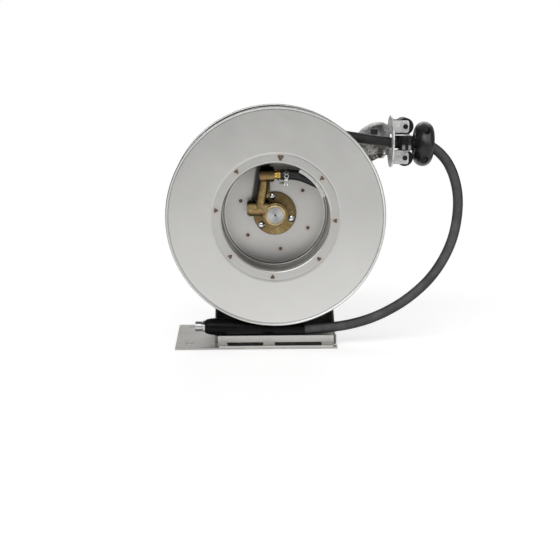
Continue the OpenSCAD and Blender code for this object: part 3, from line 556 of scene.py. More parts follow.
ALONG_X = (240, 3, 3)
stainless = sheet_metal("stainless_sheet", STEEL)
stainless_cavity = sheet_metal("stainless_cavity", (0.61, 0.60, 0.58), shade_and_grime=cavity_painted_shade,
                               welds=WEB_WELDS)
stainless_pedestal = sheet_metal("stainless_pedestal", STEEL, shade_and_grime=pedestal_painted_shade)
stainless_rail = sheet_metal("stainless_rail", (0.60, 0.59, 0.565), ALONG_X, 0.42, 0.16)
stainless_base = sheet_metal("stainless_base", (0.47, 0.462, 0.44), ALONG_X, 0.42, 0.24, base_shade_and_film)


# ---------- front disc ----------

# Radii of the forms in the disc's face, most of them carrying painted shade and painted highlights
LIP_END = (0.0902, 0.0912)
DARKER_RING = (0.0905, 0.1045)
DISHED_RING = (0.0935, 0.1010)
STEP_RING = (0.1015, 0.1085)
STEP_SHADE_LINE = (0.1036, 0.1050)
GROOVE = (0.1748, 0.1758)
ROLLED_EDGE = (0.1762, 0.1781)
ROLLED_RIM = (0.1783, 0.1790)


def laid_back(n, weight, lean):
    """Front-facing normal laid back flat by weight, leaning in to the axle by lean."""
    geometry = n.add("ShaderNodeNewGeometry")
    place = geometry.outputs["Position"]
    normal = geometry.outputs["Normal"]
    away = n.vector("MULTIPLY", n.vector("SUBTRACT", place, (0, 0, AXLE_Z)), WITHOUT_Y)
    inward = n.scaled(n.vector("NORMALIZE", away), n.times(lean, -1.0))
    target = n.vector("ADD", inward, tuple(FRONT))
    front = n.above(n.vector("DOT_PRODUCT", normal, tuple(FRONT)), 0.5)
    share = n.times(weight, front)
    kept = n.scaled(normal, n.math("SUBTRACT", 1.0, share))
    return n.vector("NORMALIZE", n.vector("ADD", kept, n.scaled(target, share)))


def toward_angle(n, angle, middle, lo, hi):
    """1 about the axle near a middle angle, by the cosine of the angle from it."""
    return n.remap(n.math("COSINE", n.math("SUBTRACT", angle, middle)), lo, hi, smooth=True)


def disc_colour(n, flat, cloud):
    """Mottled sheet, with painted shade and painted highlights on the disc's pressed forms."""
    r, angle = n.radial()
    spots = n.noise(190, 2, 0.7)
    tone = (0.70, 0.695, 0.675)
    dark = tinted(tone, 0.90)
    col = n.mix(n.remap(cloud, 0.32, 0.7), dark, tone)
    col = n.mix(n.remap(flat, 0.35, 0.75, 0, 0.35), col, (0.76, 0.755, 0.735))
    col = n.mix(n.remap(spots, 0.64, 0.75, 0, 0.3), col, dark)
    # Darker ring between the pressed step and the lip
    col = n.shade(col, n.inside(r, *DARKER_RING, 0.0006), 0.87)
    # Pressed step, with a painted shade line on the upper right
    upper_right = toward_angle(n, angle, 0.9, 0.78, 0.96)
    col = n.shade(col, n.times(n.inside(r, *STEP_SHADE_LINE, 0.0003), upper_right), 0.45)
    # Turned-in lip: painted light on the lower right, painted shade on the upper left
    turned = n.facing((-0.55, 0, 0.83), -0.7, 0.7, 0.50, 1.06)
    col = n.shade(col, n.remap(r, *LIP_END, 1, 0, smooth=True), turned)
    # Painted shade: fine dark line in the groove inside the rolled edge
    col = n.shade(col, n.inside(r, *GROOVE, 0.0004), 0.45)
    # Rolled edge: painted highlight on the lower right, painted shade on its outer side
    lower_right = toward_angle(n, angle, -0.45, 0.25, 0.85)
    shine = n.times(n.inside(r, *ROLLED_EDGE, 0.0003), lower_right)
    col = n.mix(shine, col, (0.98, 0.98, 0.975))
    col = n.scaled(col, n.remap(r, *ROLLED_RIM, 1.0, 0.66, smooth=True))
    patchy = n.times(weld_halo(n, LIP_WELDS, 0.003, 0.010),
                     n.remap(n.noise(90, 2), 0.35, 0.6, 0.4, 0.9))
    return n.mix(n.times(patchy, 0.6), col, (0.58, 0.46, 0.38))


def disc_normal(n, flat):
    """Soft step and dished ring, under two kinds of fine grain."""
    r, angle = n.radial()
    dished = n.inside(r, *DISHED_RING, 0.0015)
    step = n.inside(r, *STEP_RING, 0.0012)
    weight = n.math("MAXIMUM", n.times(step, 0.8), dished)
    pressed = laid_back(n, weight, n.times(dished, 0.035))
    round_axle = n.add("ShaderNodeCombineXYZ")
    n.put(n.times(r, 900.0), round_axle.inputs[0])
    n.put(n.times(angle, 1.2), round_axle.inputs[1])
    turned_grain = n.noise(1.0, 3, 0.6, round_axle.outputs[0])
    return n.bump(turned_grain, 0.05, 0.0003, n.bump(flat, 0.10, 0.0004, pressed))


def disc_material():
    """Pressed disc: sheet grain, turned-in lip, heat tint round the spot welds."""
    n = Surface("stainless_disc")
    flat = n.noise(20, 4, 0.6, n.stretch((3, 3, 240), (0, 0.2, 0)))
    cloud = n.noise(7, 4, 0.62)
    grained = n.remap(flat, 0.3, 0.7, 0.33, 0.43)
    n.set(Base_Color=disc_colour(n, flat, cloud), Metallic=SHEET_METALLIC,
          Roughness=n.math("ADD", grained, n.remap(cloud, 0.3, 0.7, -0.03, 0.05)),
          Normal=disc_normal(n, flat))
    return n.mat


stainless_disc = disc_material()


# ---------- plated and turned steel ----------

def plated(name, tone, rough=0.24, mottled=0.15, metallic=1.0):
    """Plated or blackened steel with a slight bloom."""
    n = Surface(name)
    cloud = n.noise(60, 4, 0.65)
    col = n.mix(n.remap(cloud, 0.35, 0.66), tinted(tone, 1 - mottled), tone)
    n.set(Base_Color=col, Metallic=metallic,
          Roughness=n.remap(cloud, 0.3, 0.7, rough - 0.05, rough + 0.12),
          Normal=n.bump(n.noise(520, 2, 0.6), 0.08, 0.0003, n.rounded(0.0004)))
    return n.mat


zinc = plated("zinc_plate", (0.72, 0.72, 0.71))
zinc_bright = plated("zinc_bright", (0.82, 0.82, 0.82), 0.16, 0.08)
zinc_frame = plated("zinc_frame", (0.93, 0.93, 0.925), 0.24, 0.34, 0.25)
dark_steel = plated("dark_steel", (0.10, 0.10, 0.105), 0.32, 0.3)
pin_steel = plated("pin_steel", (0.045, 0.045, 0.05), 0.24, 0.4)

# Radii on the axle's turned face
CENTRE_MARK = (0.0009, 0.0015)
BORE_GAP = (0.0130, 0.0135)
BRASSY_EDGE = (0.0133, 0.020)


def turned_steel():
    """Lathe-turned face: rings about the axle, a centre mark painted dark as its shade, a painted
    shade line inside a brassy outer edge, and a painted glint by the angle about the axle.
    """
    n = Surface("turned_steel")
    r, angle = n.radial()
    rings = n.math("SINE", n.times(r, 2900.0))
    fine = n.math("SINE", n.times(r, 9000.0))
    col = n.mix(n.remap(rings, -1, 1), (0.34, 0.345, 0.345), (0.58, 0.585, 0.585))
    col = n.mix(n.remap(fine, -1, 1, 0, 0.22), col, (0.78, 0.78, 0.78))
    # Painted shade in the centre hole
    col = n.mix(n.remap(r, *CENTRE_MARK, 1, 0, smooth=True), col, (0.04, 0.04, 0.045))
    col = n.mix(n.inside(r, *BRASSY_EDGE, 0.0003), col, (0.74, 0.60, 0.36))
    # Painted shade line in the gap inside the brassy edge
    col = n.shade(col, n.inside(r, *BORE_GAP, 0.0002), 0.45)
    # Painted glint, lighter and darker twice round the axle
    col = n.scaled(col, n.remap(two_sided(n, angle, 0.5), -1, 1, 0.80, 1.16))
    n.set(Base_Color=col, Metallic=1.0, Roughness=n.remap(rings, -1, 1, 0.22, 0.34),
          Normal=n.bump(rings, 0.10, 0.0001, n.rounded(0.0005)))
    return n.mat


turned = turned_steel()


# ---------- brass ----------

# Swivel casting: its screws' angles about the axle and their circle, and its main radii
SWIVEL_SCREWS = (99, 343, 221)
SCREW_CIRCLE = 0.0293
SCREW_SEAT = (0.0050, 0.0064)
FLANGE_R = 0.0362
FLANGE_BEHIND_Y = 0.0080
FLANGE_RIM = (0.0353, 0.0370)
HUB_LIP = (0.0148, 0.0174)
HUB_LIP_Y = -0.0140
RIB_FROM_X = -0.0152
RIB_TOP_Z = 0.2795

# Where its painted shade sets in: heights for the top, and for the flange heights and a stretch of X
TOP_SHADE_Z = (0.2800, 0.2925)
FLANGE_SHADE_Z = (AXLE_Z - 0.030, AXLE_Z + 0.034)
FLANGE_SHADE_X = (0.012, 0.032)


def brass_colour(n, tone, cloud, grit, cast):
    """Tone, clouded and lighter on its edges, as wear and as a painted highlight, with patches that
    grow with cast.
    """
    patch = n.noise(120, 4, 0.7, distortion=0.8)
    dull = tinted(tone, 0.62)
    reddish = tinted(tone, 0.80, 0.62, 0.72)
    pale = tinted(tone, 1.45, 1.55, 1.9)
    bright = tuple(min(1, c) for c in tinted(tone, 1.5, 1.5, 1.45))
    col = n.mix(n.remap(cloud, 0.3, 0.7), dull, tone)
    col = n.mix(n.remap(grit, 0.6, 0.75, 0, 0.5 * cast), col, dull)
    col = n.mix(n.remap(patch, 0.49, 0.60, 0, 0.85 * cast), col, reddish)
    col = n.mix(n.remap(patch, 0.46, 0.34, 0, 0.7 * cast), col, pale)
    # Edges lighter: wear, and a painted highlight
    return n.mix(n.times(n.edges(0.0012, 0.01, 0.18), 0.6), col, bright)


def cast_painted_shade(n, col):
    """Painted light and shade by how the casting faces, and painted shade on its top, its flange, its
    rib beside the duct and round its screws.
    """
    x, y, z = n.parts()
    r, _ = n.radial()
    # Painted light and shade by how the surface faces, and painted shade on the top
    lit = n.facing((0.10, -1, -0.36), 0.30, 0.96, 0.06, 1.10)
    top_shade = n.remap(z, *TOP_SHADE_Z, 1.0, 0.08, smooth=True)
    col = n.scaled(col, n.times(lit, top_shade))
    # Flange: painted shade growing towards the top and the right, and a painted shade line round its
    # rim
    flange = n.times(n.below(r, FLANGE_R), n.above(y, FLANGE_BEHIND_Y))
    flange_shade = n.times(n.remap(z, *FLANGE_SHADE_Z, 1.04, 0.52, smooth=True), n.remap(x, *FLANGE_SHADE_X, 1.0, 0.80))
    col = n.shade(col, flange, flange_shade)
    col = n.shade(col, n.times(flange, n.inside(r, *FLANGE_RIM, 0.0003)), 0.42)
    # Stiffening rib, with painted shade beside the duct
    rib = n.times(n.above(r, FLANGE_R), n.above(x, RIB_FROM_X), n.below(z, RIB_TOP_Z))
    col = n.shade(col, rib, 0.42)
    # Painted shade round each screw's seat
    for degrees in SWIVEL_SCREWS:
        away = n.distance(about_axle(SCREW_CIRCLE, degrees, 0), WITHOUT_Y)
        col = n.shade(col, n.inside(away, *SCREW_SEAT, 0.0004), 0.30)
    return col


def brass_normal(n, cloud, grit, cast, rounding):
    """Rounded edges and a pitted surface, rougher with cast."""
    pitted = n.bump(grit, 0.25 * cast, 0.0005, n.rounded(rounding))
    return n.bump(cloud, 0.12 * cast, 0.001, pitted)


def cast_brass(name, tone):
    """The swivel's tarnished casting with painted shade, and a bright turned lip round its hub with a
    painted glint.
    """
    n = Surface(name)
    cloud = n.noise(45, 5, 0.65)
    grit = n.noise(420, 3, 0.7)
    _, y, _ = n.parts()
    r, angle = n.radial()
    col = cast_painted_shade(n, brass_colour(n, tone, cloud, grit, 1.0))
    lip = n.times(n.inside(r, *HUB_LIP, 0.0003), n.below(y, HUB_LIP_Y))
    # Painted glint on the turned lip, by the angle about the axle
    glint = n.remap(two_sided(n, angle, 1.9), -1, 1, 0.62, 1.12)
    col = n.mix(lip, col, n.scaled((0.80, 0.66, 0.40), glint))
    n.set(Base_Color=col, Metallic=1.0, Roughness=n.remap(lip, 0, 1, 0.46, 0.2),
          Normal=brass_normal(n, cloud, grit, 1.0, 0.0010))
    return n.mat


def plain_brass(name, tone, rough, cast=0.2):
    """Machined brass or bronze."""
    n = Surface(name)
    cloud = n.noise(45, 5, 0.65)
    grit = n.noise(420, 3, 0.7)
    n.set(Base_Color=brass_colour(n, tone, cloud, grit, cast), Metallic=1.0,
          Roughness=n.remap(grit, 0.3, 0.7, rough - 0.05, rough + 0.15),
          Normal=brass_normal(n, cloud, grit, cast, 0.0004))
    return n.mat


brass_cast = cast_brass("brass_cast", (0.34, 0.250, 0.108))
brass_gold = plain_brass("brass_gold", (0.70, 0.47, 0.12), 0.24)
bronze = plain_brass("bronze", (0.50, 0.33, 0.16), 0.3)


# ---------- rubber and plastic ----------

def rubber(name, tone, rough, scale, sheen=0.0, specular=0.5, top=1.0, sides=None, spot=0.0):
    """Black rubber, dusty in places. The factors top and sides paint light on what turns up and paint
    shade on what turns away; spot is the strength of a painted glint high on its front.
    """
    n = Surface(name)
    dust = n.noise(28, 5, 0.62)
    scuff = n.noise(90, 4, 0.7, distortion=1.2)
    pale = tuple(c * 2.1 + 0.012 * top for c in tone)
    col = n.mix(n.remap(dust, 0.42, 0.72, 0, 0.45), tone, pale)
    col = n.mix(n.remap(scuff, 0.63, 0.74, 0, 0.35), col, pale)
    # Painted light on what turns up
    col = n.scaled(col, n.facing((-0.2, -0.6, 0.8), -0.4, 0.95, 0.6, top))
    # Painted shade on what turns to the sides
    if sides:
        col = n.scaled(col, n.facing((-0.25, -1, 0.1), 0.25, 0.85, sides, 1.12))
    # Painted glint high on the front
    if spot:
        col = n.mix(n.facing((0.05, -0.86, 0.50), 0.86, 1.0, 0.0, spot), col, (0.16, 0.16, 0.165))
    n.set(Base_Color=col, Roughness=n.remap(dust, 0.3, 0.7, rough - 0.06, rough + 0.1),
          Specular_IOR_Level=specular, Sheen_Weight=sheen, Sheen_Roughness=0.5,
          Normal=n.bump(n.noise(scale, 3, 0.6), 0.22, 0.0005, n.rounded(0.0008)))
    return n.mat


COAL = (0.005, 0.005, 0.006)
hose_rubber = rubber("hose_rubber", (0.034, 0.034, 0.035), 0.45, 700, 0.0, 0.20, 2.2, 0.10)
# Darker copy of the hose rubber for the hose on the drum, its tail and its lead: painted shade
hose_shaded = rubber("hose_in_drum", (0.014, 0.014, 0.015), 0.45, 700, 0.03, 0.35, 1.3, 0.35)
moulded = rubber("moulded_rubber", COAL, 0.28, 300, 0.02, 0.30, 3.0)
stop_rubber = rubber("stop_rubber", COAL, 0.26, 300, 0.02, 0.30, 2.6, spot=0.55)
handle_rubber = rubber("handle_rubber", (0.0012, 0.0012, 0.0016), 0.30, 240, 0.0, 0.11, 1.3)
nylon = rubber("black_nylon", COAL, 0.34, 500, 0.0, 0.28, 1.6)

# Heights between which the upright rollers glint
ROLLER_GLINT = (0.3225, 0.3345)


def roller_material():
    """Black nylon roller on an upright pin, with two glints low on its front."""
    n = Surface("roller_nylon")
    _, _, z = n.parts()
    grain = n.noise(500, 3, 0.6)
    left = n.facing((-0.50, -0.86, 0), 0.955, 0.995)
    right = n.facing((0.40, -0.92, 0), 0.955, 0.995)
    glint = n.times(n.math("MAXIMUM", left, right), n.inside(z, *ROLLER_GLINT, 0.0022))
    col = n.mix(n.remap(grain, 0.35, 0.65), COAL, (0.010, 0.010, 0.012))
    n.set(Base_Color=n.mix(glint, col, (0.34, 0.34, 0.36)), Roughness=0.32,
          Specular_IOR_Level=0.28, Normal=n.bump(grain, 0.15, 0.0004, n.rounded(0.0008)))
    return n.mat


def guard_material():
    """Pale strip along the edge of the hose slot."""
    n = Surface("guard_strip")
    cloud = n.noise(120, 3)
    n.set(Base_Color=n.mix(n.remap(cloud, 0.35, 0.7), (0.62, 0.62, 0.60), (0.74, 0.74, 0.72)),
          Roughness=n.remap(cloud, 0.3, 0.7, 0.35, 0.5), Normal=n.bump(cloud, 0.08, 0.0003))
    return n.mat


roller_nylon = roller_material()
guard = guard_material()


# ---------- arm, welds, screw heads and clamp ----------

# Grey tones of the plated arm by place, each from dark to light patches
ARM_UPPER = [(0.40, (0.22, 0.22, 0.225)), (0.50, (0.42, 0.42, 0.42)),
             (0.58, (0.62, 0.62, 0.61)), (0.68, (0.82, 0.82, 0.80))]
ARM_LOWER = [(0.42, (0.045, 0.042, 0.040)), (0.49, (0.20, 0.19, 0.175)),
             (0.55, (0.44, 0.425, 0.395)), (0.64, (0.85, 0.83, 0.79))]
ARM_BLADE = [(0.38, (0.20, 0.195, 0.185)), (0.50, (0.33, 0.32, 0.305)),
             (0.60, (0.46, 0.45, 0.43)), (0.72, (0.60, 0.59, 0.565))]

# Stretches of X and Z over which those tones change, and over which painted light makes the arm
# lighter
BLADE_TO_LOWER_X = (0.140, 0.168)
LOWER_TO_UPPER_Z = (0.322, 0.338)
LIGHTER_Z = (0.328, 0.342)

# Pressed recess in the arm's end: its X and Z limits, its rim's width and the depth of its floor
RECESS_X = (0.1682, 0.1808)
RECESS_Z = (0.3422, 0.3518)
RECESS_RIM = 0.0014
RECESS_Y = 0.0962


def recess_mask(n, grow):
    """1 inside the outline of the arm's recess, grown by a width."""
    x, _, z = n.parts()
    across = n.inside(x, RECESS_X[0] - grow, RECESS_X[1] + grow, 0.0004)
    return n.times(across, n.inside(z, RECESS_Z[0] - grow, RECESS_Z[1] + grow, 0.0004))


def galvanised_material():
    """Plated arm: cloudy grey with darker and browner patches below the hose, painted shade in its
    recess, painted highlights on the recess rim and edges, and painted light towards its top.
    """
    n = Surface("galvanised_arm")
    x, y, z = n.parts()
    cloud = n.noise(46, 5, 0.7, distortion=0.7)
    fine = n.noise(150, 4, 0.75, distortion=0.5)
    flake = n.make("ShaderNodeTexVoronoi", {"Vector": n.coord, "Scale": 210}, "Color")
    flake_grey = n.make("ShaderNodeSeparateColor", {0: flake})
    tone = n.math("ADD", n.times(cloud, 0.55), n.times(fine, 0.35))
    tone = n.math("ADD", tone, n.times(flake_grey, 0.12))
    lower = n.mix(n.remap(x, *BLADE_TO_LOWER_X, smooth=True), n.ramp(tone, ARM_BLADE),
                  n.ramp(tone, ARM_LOWER))
    col = n.mix(n.remap(z, *LOWER_TO_UPPER_Z, smooth=True), lower, n.ramp(tone, ARM_UPPER))
    # Painted shade on the recess floor
    recess_floor = n.times(recess_mask(n, 0), n.above(y, RECESS_Y))
    col = n.mix(recess_floor, col, (0.10, 0.09, 0.105))
    # Painted highlight on the recess rim
    rim = n.times(recess_mask(n, RECESS_RIM), n.below(y, RECESS_Y))
    col = n.mix(n.times(rim, 0.5), col, (0.80, 0.79, 0.76))
    # Painted highlight on the edges
    col = n.mix(n.times(n.edges(0.0012, 0.01, 0.15), 0.5), col, (0.78, 0.77, 0.74))
    # Painted light, growing towards the top
    col = n.scaled(col, n.remap(z, *LIGHTER_Z, 0.95, 1.18, smooth=True))
    n.set(Base_Color=col, Metallic=0.35, Roughness=n.remap(fine, 0.3, 0.7, 0.28, 0.48),
          Normal=n.bump(tone, 0.30, 0.0006, n.rounded(0.0008)))
    return n.mat


def weld_material():
    """Heat-tinted spot weld, in two browns."""
    n = Surface("weld_tint")
    cloud = n.noise(420, 3, 0.7)
    col = n.mix(n.remap(cloud, 0.38, 0.62), (0.075, 0.060, 0.050), (0.19, 0.15, 0.125))
    n.set(Base_Color=col, Metallic=0.6, Roughness=n.remap(cloud, 0.3, 0.7, 0.42, 0.6),
          Normal=n.bump(cloud, 0.35, 0.0004))
    return n.mat


def chrome_material():
    """Polished heads: painted light on the upper left, painted shade nearly black on the lower right.
    """
    n = Surface("polished_head")
    lit = n.facing((-0.42, -0.80, 0.42), 0.30, 0.98)
    tone = n.math("ADD", lit, n.remap(n.noise(900, 2), 0.3, 0.7, -0.06, 0.06))
    col = n.ramp(tone, [(0.0, (0.03, 0.03, 0.032)), (0.40, (0.16, 0.16, 0.165)),
                        (0.66, (0.50, 0.50, 0.50)), (0.95, (0.96, 0.96, 0.96))])
    n.set(Base_Color=col, Metallic=1.0, Roughness=n.remap(n.noise(300, 3), 0.3, 0.7, 0.12, 0.22),
          Normal=n.rounded(0.0003))
    return n.mat


# Worm-drive clamp: where the hose and the clamp's screw lie, and where painted shade darkens the clamp
CLAMP_HOSE = Vector((0, -0.014, 0.285))
CLAMP_SCREW = Vector((0.0178, -0.0272, 0.2842))
CLAMP_RECESS_R = (0.0021, 0.0026)
CLAMP_RECESS_Y = -0.0270
CLAMP_TAIL_X = (0.0128, 0.0134)
CLAMP_BAND_R = (0.0104, 0.0110)


def clamp_material():
    """Clamp steel with painted light by how it faces, and painted shade in the screw's recess, on the
    band and on the tail.
    """
    n = Surface("clamp_steel")
    x, y, _ = n.parts()
    # Painted light and shade by how the surface faces
    lit = n.facing((-0.3, -0.85, 0.35), 0.05, 0.95)
    col = n.ramp(lit, [(0.0, (0.04, 0.04, 0.042)), (0.45, (0.22, 0.22, 0.225)),
                       (0.75, (0.62, 0.62, 0.61)), (1.0, (0.90, 0.90, 0.89))])
    # Painted shade in the screw's recess
    near_screw = n.remap(n.distance(CLAMP_SCREW, WITHOUT_Y), *CLAMP_RECESS_R, 1, 0)
    recess = n.times(near_screw, n.below(y, CLAMP_RECESS_Y))
    col = n.mix(recess, col, (0.02, 0.02, 0.022))
    film = n.noise(260, 3, 0.7)
    col = n.scaled(col, n.remap(film, 0.35, 0.65, 0.75, 1.0))
    # Painted shade on the tail, and on the band round the hose
    col = n.scaled(col, n.remap(x, *CLAMP_TAIL_X, 0.30, 1.0))
    col = n.scaled(col, n.remap(n.distance(CLAMP_HOSE, WITHOUT_X), *CLAMP_BAND_R, 0.16, 1.0))
    n.set(Base_Color=col, Metallic=1.0, Roughness=n.remap(film, 0.3, 0.7, 0.16, 0.3),
          Normal=n.rounded(0.0003))
    return n.mat


galvanised = galvanised_material()
weld = weld_material()
chrome = chrome_material()
clamp_steel = clamp_material()


# ---------- materials on the pieces ----------

def paint(names, mat):
    """Give the material to each of the nodes, named in one line."""
    for name in names.split():
        data = NODES[name].data
        data.materials.clear()
        data.materials.append(mat)


paint("front_disc", stainless_disc)
paint("rear_disc", stainless)
paint("drum_wall web_plate", stainless_cavity)
paint("pedestal", stainless_pedestal)
paint("front_rail", stainless_rail)
paint("base_plate", stainless_base)
paint("base_bolts axle_flange axle_bolts axle_collar retaining_ring hub_plate spring_case "
      "spring_anchor rear_hub hub_screws pawl_pin frame_screws", zinc)
paint("swivel_screws hose_clamp", zinc_bright)
paint("roller_frame", zinc_frame)
paint("axle end_fitting", turned)
paint("spring_arbor power_spring pawl_spring ratchet_wheel pawl", dark_steel)
paint("swivel_body", brass_cast)
paint("hose_nipple", brass_gold)
paint("swivel_bush rear_bush", bronze)
paint("guide_arm", galvanised)
paint("swivel_seals hose_stop_bolts", moulded)
paint("hose_stop_front hose_stop_rear", stop_rubber)
paint("bend_restrictor", handle_rubber)
paint("roller_pins_horizontal roller_pins_vertical", pin_steel)
paint("roller_top roller_bottom", nylon)
paint("roller_front roller_rear", roller_nylon)
paint("slot_guard", guard)
hose_loop.data.materials.append(hose_rubber)
# The hose on the drum, its tail and its lead take the darker copy: painted shade
for piece in (hose_lead, hose_wound, hose_core, hose_tail):
    piece.data.materials.append(hose_shaded)


# ---------- small pieces ----------

CREASE = math.radians(38)


def mesh_piece(name, bm, mat, body):
    """Object from a bmesh, smooth except across edges sharper than CREASE."""
    data = bpy.data.meshes.new(name)
    bmesh.ops.recalc_face_normals(bm, faces=bm.faces)
    for edge in bm.edges:
        edge.smooth = edge.calc_face_angle(0) < CREASE
    bm.to_mesh(data)
    bm.free()
    for poly in data.polygons:
        poly.use_smooth = True
    obj = add_object(name, data)
    data.materials.append(mat)
    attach(obj, body)
    return obj


# Spot welds: dome as (share of the outline, share of the height), height and sizes
DOME = [(1.0, 0.02), (0.8, 0.75), (0.45, 1.0)]
DOME_MIDDLE = 0.75
WELD_H = 0.0004
WEB_WELD_R = 0.0031
LIP_WELD_R = 0.0043
LIP_WELD_SCALES = [1.5] + [1.08] * (len(LIP_WELDS) - 1)
LOBE_DEGREES = (-34, -14, 14, 34)  # a lobe's points on each side of its tip
LOBE_DROP = 0.34  # how far its last points lie inside the tip's radius, as a share
LIP_FACE_Y = -0.04426
WEB_FACE_Y = 0.01399


def dimple(bm, spot, y, outline):
    """Low domed patch at a weld, over an outline in metres away from and about the axle."""
    radius, degrees = spot
    centre = about_axle(radius, degrees, y)
    a = math.radians(degrees)
    out = Vector((math.cos(a), 0, math.sin(a)))
    side = Vector((-math.sin(a), 0, math.cos(a)))
    loops = []
    for scale, rise in DOME:
        loops.append([
            bm.verts.new(centre + (out * u + side * v) * scale + FRONT * (WELD_H * rise))
            for u, v in outline
        ])
    bridge(bm, loops)
    middle = bm.verts.new(centre + FRONT * (WELD_H * DOME_MIDDLE))
    last = loops[-1]
    for a, b in zip(last, last[1:] + last[:1]):
        bm.faces.new((a, b, middle))


def polar(radius, degrees):
    """Distances away from and about a centre."""
    return radius * math.cos(math.radians(degrees)), radius * math.sin(math.radians(degrees))


def three_lobes(radius):
    """Rounded triangle with one tip towards the axle."""
    return [
        polar(radius * (1 - LOBE_DROP * abs(d) / LOBE_DEGREES[-1]), tip + d)
        for tip in (180, 300, 60) for d in LOBE_DEGREES
    ]


def weld_marks():
    """Domed marks of the spot welds, on the disc's lip and on the web."""
    on_lip = bmesh.new()
    for spot, scale in zip(LIP_WELDS, LIP_WELD_SCALES):
        dimple(on_lip, spot, LIP_FACE_Y, three_lobes(LIP_WELD_R * scale))
    mesh_piece("disc_weld_marks", on_lip, weld, "drum")
    on_web = bmesh.new()
    for spot in WEB_WELDS:
        dimple(on_web, spot, WEB_FACE_Y, [polar(WEB_WELD_R, t) for t in range(0, 360, 20)])
    mesh_piece("web_weld_marks", on_web, weld, "drum")


# Swivel screws: head, washer and the face that they stand on
HEAD_FLAT = 0.0045  # half the width across flats
HEAD_H = 0.0052
WASHER_R = 0.0054
WASHER_T = 0.0012
SCREW_FACE_Y = 0.009
HEAD_SIDES = 48


def hex_head(bm, base, turn):
    """Hexagon head with a domed top, on a washer, standing forward from base."""
    u = FRONT.orthogonal().normalized()
    v = FRONT.cross(u)

    def hexagon(t):
        d = (t - turn + math.pi / 6) % (math.pi / 3) - math.pi / 6
        return HEAD_FLAT / math.cos(d)

    def ring(radius_at, height_at):
        return [
            bm.verts.new(base + FRONT * height_at(t)
                         + (u * math.cos(t) + v * math.sin(t)) * radius_at(t))
            for t in around(HEAD_SIDES, turn)
        ]

    def flat_ring(radius, height):
        return ring(lambda t: radius, lambda t: height)

    def crown(t):
        return HEAD_H - (hexagon(t) - HEAD_FLAT * 0.96) * 0.55 - 0.0011

    rings = [
        flat_ring(WASHER_R, 0.0),
        flat_ring(WASHER_R, WASHER_T * 0.75),
        flat_ring(WASHER_R - WASHER_T * 0.3, WASHER_T),
        ring(lambda t: hexagon(t) * 0.985, lambda t: WASHER_T),
        ring(hexagon, lambda t: WASHER_T + 0.0003),
        ring(hexagon, crown),
        flat_ring(HEAD_FLAT * 0.95, HEAD_H - 0.0009),
        flat_ring(HEAD_FLAT * 0.72, HEAD_H - 0.0004),
        flat_ring(HEAD_FLAT * 0.40, HEAD_H - 0.0001),
        flat_ring(HEAD_FLAT * 0.12, HEAD_H),
    ]
    bridge(bm, rings)
    bm.faces.new(rings[-1])


def swivel_screw_heads():
    """Domed heads on washers, each turned its own way."""
    bm = bmesh.new()
    for k, degrees in enumerate(SWIVEL_SCREWS):
        hex_head(bm, about_axle(SCREW_CIRCLE, degrees, SCREW_FACE_Y), 0.3 + 0.5 * k)
    screws = mesh_piece("swivel_screw_heads", bm, chrome, "drum")
    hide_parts("swivel_screws")


# Worm-drive clamp: band with raised edges, from its left to its right edge along the hose
BAND_R = HOSE_R + 0.00015
BAND_X = (0.0130, 0.0220)
BAND_T = 0.0008
BAND_EDGE_T = 0.0012
BAND_EDGE_W = 0.0008
BAND_EDGE_SLOPE = 0.0004
NOTCHES = 26
NOTCH_FROM = 100  # degrees about the hose
NOTCH_STEP = 10
NOTCH_OUT = 0.0009
NOTCH_SIZE = (0.0042, 0.0007, 0.0007)
NOTCH_BEVEL = 0.00015

# Its housing, two legs and tail: centre, size, bevel and turn in degrees
CLAMP_BLOCKS = [
    ((0.0174, -0.0266, 0.2790), (0.0062, 0.0050, 0.0052), 0.0009, 0),
    ((0.0150, -0.0270, 0.2728), (0.0024, 0.0036, 0.0094), 0.0006, 14),
    ((0.0192, -0.0270, 0.2724), (0.0022, 0.0036, 0.0088), 0.0006, -6),
    ((0.0100, -0.0238, 0.2722), (0.0066, 0.0012, 0.0036), 0.0004, -14),
]

# Its screw head with a recess: (radius, distance forward)
SCREW_PROFILE = [
    (0.0002, 0.0), (0.0036, 0.0), (0.0040, 0.0006), (0.0040, 0.0028), (0.0035, 0.0036),
    (0.0024, 0.0036), (0.0021, 0.0028), (0.0021, 0.0012), (0.0002, 0.0012),
]


def lathe(bm, base, axis, profile, sides=40, closed=False):
    """Turned piece from (radius, distance along the axis) pairs; closed makes it a ring."""
    axis = Vector(axis).normalized()
    u = axis.orthogonal().normalized()
    v = axis.cross(u)
    loops = [circle(bm, base + axis * along, u, v, radius, sides) for radius, along in profile]
    bridge(bm, loops + loops[:1] if closed else loops)


def block(bm, centre, size, bevel, turn=0.0, axis="Y"):
    """Box with rounded edges, turned about one axis."""
    place = Matrix.Translation(Vector(centre)) @ Matrix.Rotation(turn, 4, axis)
    made = bmesh.ops.create_cube(bm, size=1.0, matrix=place @ Matrix.Diagonal((*size, 1)))
    edges = list({e for v in made["verts"] for e in v.link_edges})
    bmesh.ops.bevel(bm, geom=edges, offset=bevel, segments=2, profile=0.5, affect="EDGES")


def band_profile():
    """(radius, distance along the hose) pairs round the band's section."""
    left, right = BAND_X
    edge_r = BAND_R + BAND_EDGE_T
    face_r = BAND_R + BAND_T
    slope = BAND_EDGE_W + BAND_EDGE_SLOPE
    return [
        (BAND_R, left), (edge_r, left), (edge_r, left + BAND_EDGE_W), (face_r, left + slope),
        (face_r, right - slope), (edge_r, right - BAND_EDGE_W), (edge_r, right), (BAND_R, right),
    ]


